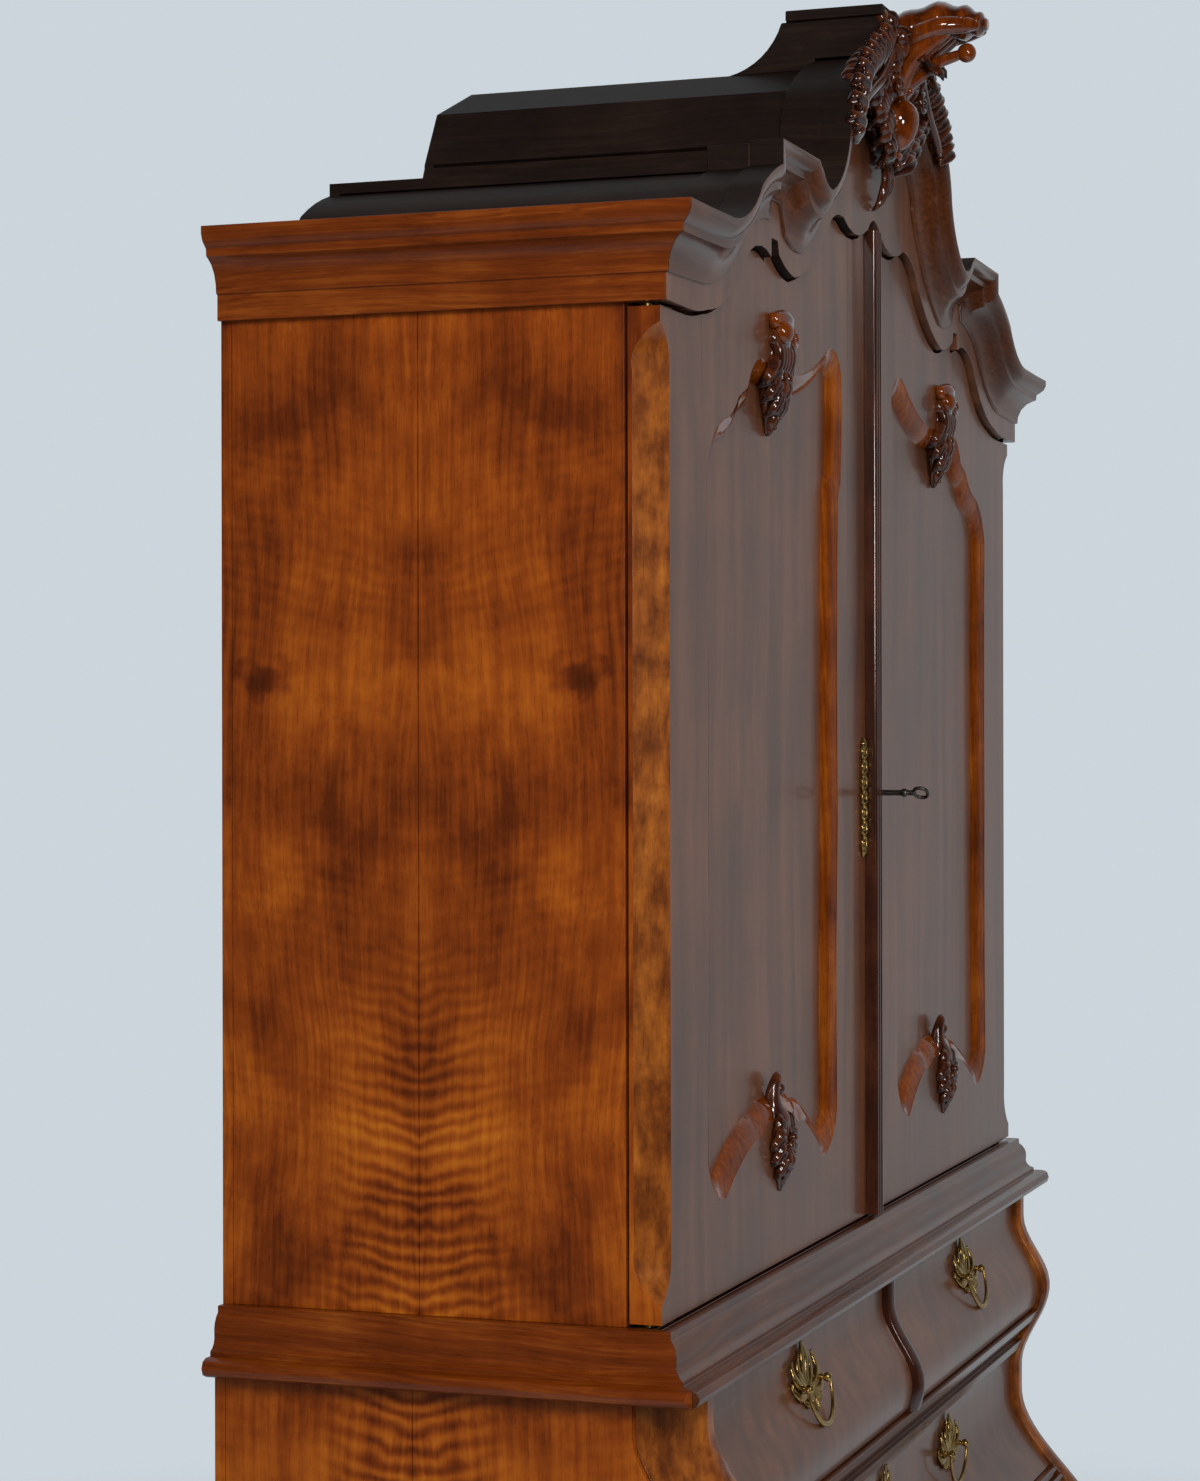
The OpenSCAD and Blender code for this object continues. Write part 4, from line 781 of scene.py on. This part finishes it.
def door_escutcheon(name):
    """A pierced strip: a chain of small scrolls round beads, with a leaf at the top and at the bottom."""
    low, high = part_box(name)
    middle = (low + high) / 2
    shape = bmesh.new()

    def run(*points):
        return [(middle.x + x * MM, high.y - out * MM, z * MM + middle.z, w * MM) for x, out, z, w in points]

    row_height = 19
    for row in range(-3, 4):
        z = row_height * row
        for side in (-1, 1):
            scroll = run((side * 3, 2, z - 9, 2.2), (side * 9, 3.5, z - 5, 2.6), (side * 10, 3.5, z + 3, 2.4),
                         (side * 5, 3, z + 8, 2.2), (side * 3, 2, z + 5, 1.6))
            stem(shape, scroll, flat=0.8, sides=8)
        if row:
            bud(shape, Vector((middle.x, high.y - 3 * MM, middle.z + z * MM)), (3.2, 2.4, 4.2))
    for way in (-1, 1):
        leaf(shape, run((0, 2, way * 58, 4), (1, 4, way * 65, 6), (0, 2, way * 74, 1.5)), lobes=2, thick=1.5)
    rim = [(6 * math.cos(a), 2.5, 5 + 6 * math.sin(a), 1.8) for a in (math.pi * k / 4 for k in range(9))]
    stem(shape, run(*rim), sides=8)
    smooth(shape)
    made = piece(shape, name + "_pierced", carrier[name], "aged_brass", brass)
    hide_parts(name)


def door_key():
    """A forged key: a flattened loop for the fingers, a collar, and a bit that the lock hides."""
    low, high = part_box("door_key")
    centre = pivot["key_turn"]
    shape = bmesh.new()
    # The loop is turned a little round the shank, so its half width has a part across and a part down
    loop_across, loop_down, loop_along, wire = 8.6 * MM, 6 * MM, 10.2 * MM, 2.3 * MM
    loop_y = low.y + 12.6 * MM
    loop = []
    stretches = 12
    for k in range(stretches + 1):
        angle = -math.pi / 2 + 2 * math.pi * k / stretches
        squeeze = 1 - 0.16 * math.sin(angle) ** 2
        x = centre.x + loop_across * math.cos(angle)
        y = loop_y + loop_along * math.sin(angle) * squeeze
        loop.append((x, y, centre.z - loop_down * math.cos(angle), wire))
    stem(shape, loop, sides=10, facing=UPWARDS)
    end_y = low.y + 21 * MM
    turned(shape, Vector((centre.x, high.y, centre.z)), Vector((centre.x, end_y, centre.z)),
           [(0, 4), (0.5, 3.9), (0.82, 3.6), (0.86, 5.2), (0.9, 5.2), (0.93, 3.4), (1, 3.8)])
    bit = bmesh.ops.create_cube(shape, size=1.0)["verts"]
    bit_size = Matrix.Diagonal((10 * MM, 8 * MM, 3 * MM, 1.0))
    bit_place = Matrix.Translation(Vector((centre.x + 5 * MM, DOOR_FACE_Y + 42 * MM, centre.z)))
    bmesh.ops.transform(shape, matrix=bit_place @ bit_size, verts=bit)
    smooth(shape)
    made = piece(shape, "door_key_forged", "key_body", "dark_steel", steel)
    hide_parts("door_key")


# The boards

# The doors' canted corners are this wide, and the back boards' edges lie this near the case's side
CANT_WIDTH = 34 * MM
BACK_EDGE = 3 * MM
# What lies further back than this is at the back, in metres
BACK_FROM_Y = 0.2


def outward(normal, middle):
    """How far a face is turned away from the press's middle line, from -1 to 1."""
    return normal.x * math.copysign(1.0, middle.x)


def from_side(middle):
    """How far a face's middle is inside the case's outer side, in metres."""
    return CASE_HALF_W - abs(middle.x)


def on_door(normal, middle):
    """The doors' canted outer corners are veneered in burr, and their outer edges like the case's sides."""
    if from_side(middle) > CANT_WIDTH or outward(normal, middle) < 0.3:
        return 0
    return 1 if normal.y < -0.3 else 2


def on_side(normal, middle):
    """The sides are veneered outside and plain oak inside."""
    return 1 if outward(normal, middle) < -0.5 else 0


def on_back(normal, middle):
    """The back boards' outer edges are veneered like the sides that they close."""
    return 1 if outward(normal, middle) > 0.5 and from_side(middle) < BACK_EDGE else 0


def on_front(normal, middle):
    """The oak boards' front edges, and what shows of the lower case's top, are dark walnut: painted shade in the
    gap under the doors. Their back edges are stained like the back."""
    if normal.y > 0.5 and middle.y > BACK_FROM_Y:
        return 2
    # Dark walnut on the front edges and on the lower case's top is painted shade for the gap under the doors
    return 1 if normal.y < -0.5 or (normal.z > 0.5 and middle.z < WAIST_Z + 2 * MM) else 0


def on_top(normal, middle):
    """The outline of the cornice and the frieze is stained black where it turns up or outwards."""
    return 1 if abs(normal.y) < 0.1 and (normal.z > 0.05 or normal.x * middle.x > 0.01) else 0


for name in ("left_door", "right_door"):
    ease_edges(name, 1.2, front_veneer, burr, side_veneer, choose=on_door)
for name in ("top_left_drawer_front", "top_right_drawer_front", "middle_drawer_front", "bottom_drawer_front"):
    ease_edges(name, 1.2, front_veneer)
for name in ("waist_front", "drawer_rails", "apron", "base_moulding"):
    ease_edges(name, 0.9, moulding_x)
ease_edges("frieze", 1.2, front_veneer, stained_pine, choose=on_top)
ease_edges("cornice_front", 0.9, moulding_x, stained_pine, choose=on_top)
for name in ("waist_sides", "cornice_sides"):
    ease_edges(name, 0.9, moulding_y)
for name in ("upper_sides", "lower_sides"):
    ease_edges(name, 0.8, side_veneer, dry_oak, choose=on_side)
for name in ("corner_posts", "feet"):
    ease_edges(name, 1.5, burr)
for name, walnut in (("drawer_muntin", dark_walnut), ("left_door_moulding", red_walnut),
                     ("right_door_moulding", red_walnut), ("astragal", dark_walnut)):
    ease_edges(name, 0.6, walnut)
for name in ("lower_top", "upper_bottom"):
    ease_edges(name, 0.6, dry_oak, dark_walnut, stained_pine, choose=on_front)
for name in ("roof_boards", "crest_block"):
    ease_edges(name, 1.5, stained_pine)
for name in ("upper_back", "lower_back"):
    ease_edges(name, 0.6, stained_pine, side_veneer, choose=on_back)
dress(stained_pine, "tympanum")
dress(dry_oak, "dust_boards", "drawer_guides", "lower_bottom", "upper_top", "shelves",
      "shelf_cleats", "top_left_drawer_box", "top_right_drawer_box", "middle_drawer_box", "bottom_drawer_box")
dress(brass, "case_hinge_leaves", "left_door_fittings", "right_door_hinge_leaves")
dress(steel, "lock_case", "lock_bolt")

crest_carving()
door_carvings(-1, "left_door_carvings")
door_carvings(1, "right_door_carvings")
drawer_brasses("top_left_drawer", ["top_left_bail"], False)
drawer_brasses("top_right_drawer", ["top_right_bail"], False)
drawer_brasses("middle_drawer", ["middle_left_bail", "middle_right_bail"], True)
drawer_brasses("bottom_drawer", ["bottom_left_bail", "bottom_right_bail"], True)
for name in ("top_left_bail", "top_right_bail", "middle_left_bail", "middle_right_bail", "bottom_left_bail",
             "bottom_right_bail"):
    bail_wire(name)
door_escutcheon("left_door_escutcheon")
door_escutcheon("right_door_escutcheon")
door_key()


# Floor, light and camera

ROOM_GREY = "#ccd5db"
FLOOR_GREY = "#b9c1c6"
FLOOR_RADIUS = 3.4
# The floor is whole up to CLEAR_FROM from its middle and is gone at CLEAR_AT, in metres
CLEAR_FROM = 1.1
CLEAR_AT = 0.9 * FLOOR_RADIUS


def pale_floor():
    """A pale floor that takes the press's shadow and fades into the room's grey further out."""
    material, tree, shader = finish("pale_floor", Roughness=0.8)
    shader.inputs["Base Color"].default_value = linear(FLOOR_GREY)
    place = add(tree, "ShaderNodeTexCoord").outputs["Object"]
    distance = add(tree, "ShaderNodeVectorMath", {0: place}, operation="LENGTH").outputs["Value"]
    fade = add(tree, "ShaderNodeMapRange", {"Value": distance, "From Min": CLEAR_FROM, "From Max": CLEAR_AT},
               interpolation_type="SMOOTHSTEP")
    clear = add(tree, "ShaderNodeBsdfTransparent")
    blend = add(tree, "ShaderNodeMixShader", {0: fade, 1: shader, 2: clear})
    tree.links.new(blend.outputs[0], tree.nodes["Material Output"].inputs["Surface"])
    shape = bmesh.new()
    bmesh.ops.create_circle(shape, cap_ends=True, segments=64, radius=FLOOR_RADIUS)
    form(shape, "floor", material)


pale_floor()

world = bpy.data.worlds.new("pale_room")
bpy.context.scene.world = world
world.use_nodes = True
world.node_tree.nodes.clear()
room = world.node_tree
seen = add(room, "ShaderNodeBackground", {"Color": linear(ROOM_GREY), "Strength": 1.0})
lighting = add(room, "ShaderNodeBackground", {"Color": linear("#e6ebf0"), "Strength": 0.5})
# Polish mirrors grey light from the right, paler further back, and near darkness from the left
direction = add(room, "ShaderNodeSeparateXYZ", {0: add(room, "ShaderNodeTexCoord").outputs["Generated"]})
to_right = add(room, "ShaderNodeMapRange",
               {"Value": direction.outputs["X"], "From Min": -0.1, "From Max": 0.7},
               interpolation_type="SMOOTHSTEP")
to_back = add(room, "ShaderNodeMapRange",
              {"Value": direction.outputs["Y"], "From Min": -0.36, "From Max": -0.15})
right_grey = add(room, "ShaderNodeMix",
                 {0: to_back, 6: linear("#82888b"), 7: linear("#abb2b6")}, data_type="RGBA")
mirrored_light = add(room, "ShaderNodeMix",
                     {0: to_right, 6: linear("#171412"), 7: right_grey.outputs[2]}, data_type="RGBA")
mirrored = add(room, "ShaderNodeBackground", {"Color": mirrored_light.outputs[2], "Strength": 1.0})
path = add(room, "ShaderNodeLightPath")
polish = add(room, "ShaderNodeMath",
             {0: path.outputs["Is Glossy Ray"], 1: path.outputs["Is Transmission Ray"]}, operation="MAXIMUM")
around = add(room, "ShaderNodeMixShader", {0: path.outputs["Is Camera Ray"], 1: lighting, 2: seen})
blend = add(room, "ShaderNodeMixShader", {0: polish, 1: around, 2: mirrored})
add(room, "ShaderNodeOutputWorld", {"Surface": blend})


def area_light(name, place, target, size, power, glints=False):
    """A square soft lamp that faces a point, its size in metres and its power in watts; only some lamps show
    as glints in the polish."""
    data = bpy.data.lights.new(name, "AREA")
    data.size = size
    data.energy = power
    lamp = bpy.data.objects.new(name, data)
    lamp.visible_glossy = glints
    lamp.location = place
    lamp.rotation_euler = (Vector(target) - Vector(place)).to_track_quat("-Z", "Y").to_euler()
    bpy.context.scene.collection.objects.link(lamp)


area_light("window_light", (-4.2, -1.6, 3.4), (-0.6, 0.0, 1.4), 1.4, 105)
area_light("room_light", (1.6, -4.2, 3.2), (0.0, 0.0, 1.3), 3.0, 60)
area_light("upper_pane", (-3.9, -1.9, 3.0), (0.0, 0.0, 1.7), 0.6, 32, glints=True)
area_light("lower_pane", (-3.2, -2.7, 2.0), (0.0, 0.0, 1.7), 0.6, 26, glints=True)

# The camera was worked out from the straight edges of the press. It looks level to the right, by HEADING
# towards the back, and leans by ROLL
LENS_MM = 79.11
SENSOR_MM = 36.0
HEADING = math.radians(19.21)
ROLL = math.radians(-0.11)
camera_data = bpy.data.cameras.new("camera")
camera_data.sensor_width = SENSOR_MM
camera_data.lens = LENS_MM
camera = bpy.data.objects.new("camera", camera_data)
eye = Vector((-3.9606, DOOR_FACE_Y - 1.0248, WAIST_Z + 0.5964))
ahead = Vector((math.cos(HEADING), math.sin(HEADING), 0.0))
turn = ahead.to_track_quat("-Z", "Y").to_matrix() @ Matrix.Rotation(ROLL, 3, "Z")
camera.matrix_world = Matrix.Translation(eye) @ turn.to_4x4()
bpy.context.scene.collection.objects.link(camera)
bpy.context.scene.camera = camera

bpy.context.scene.view_settings.view_transform = "Standard"
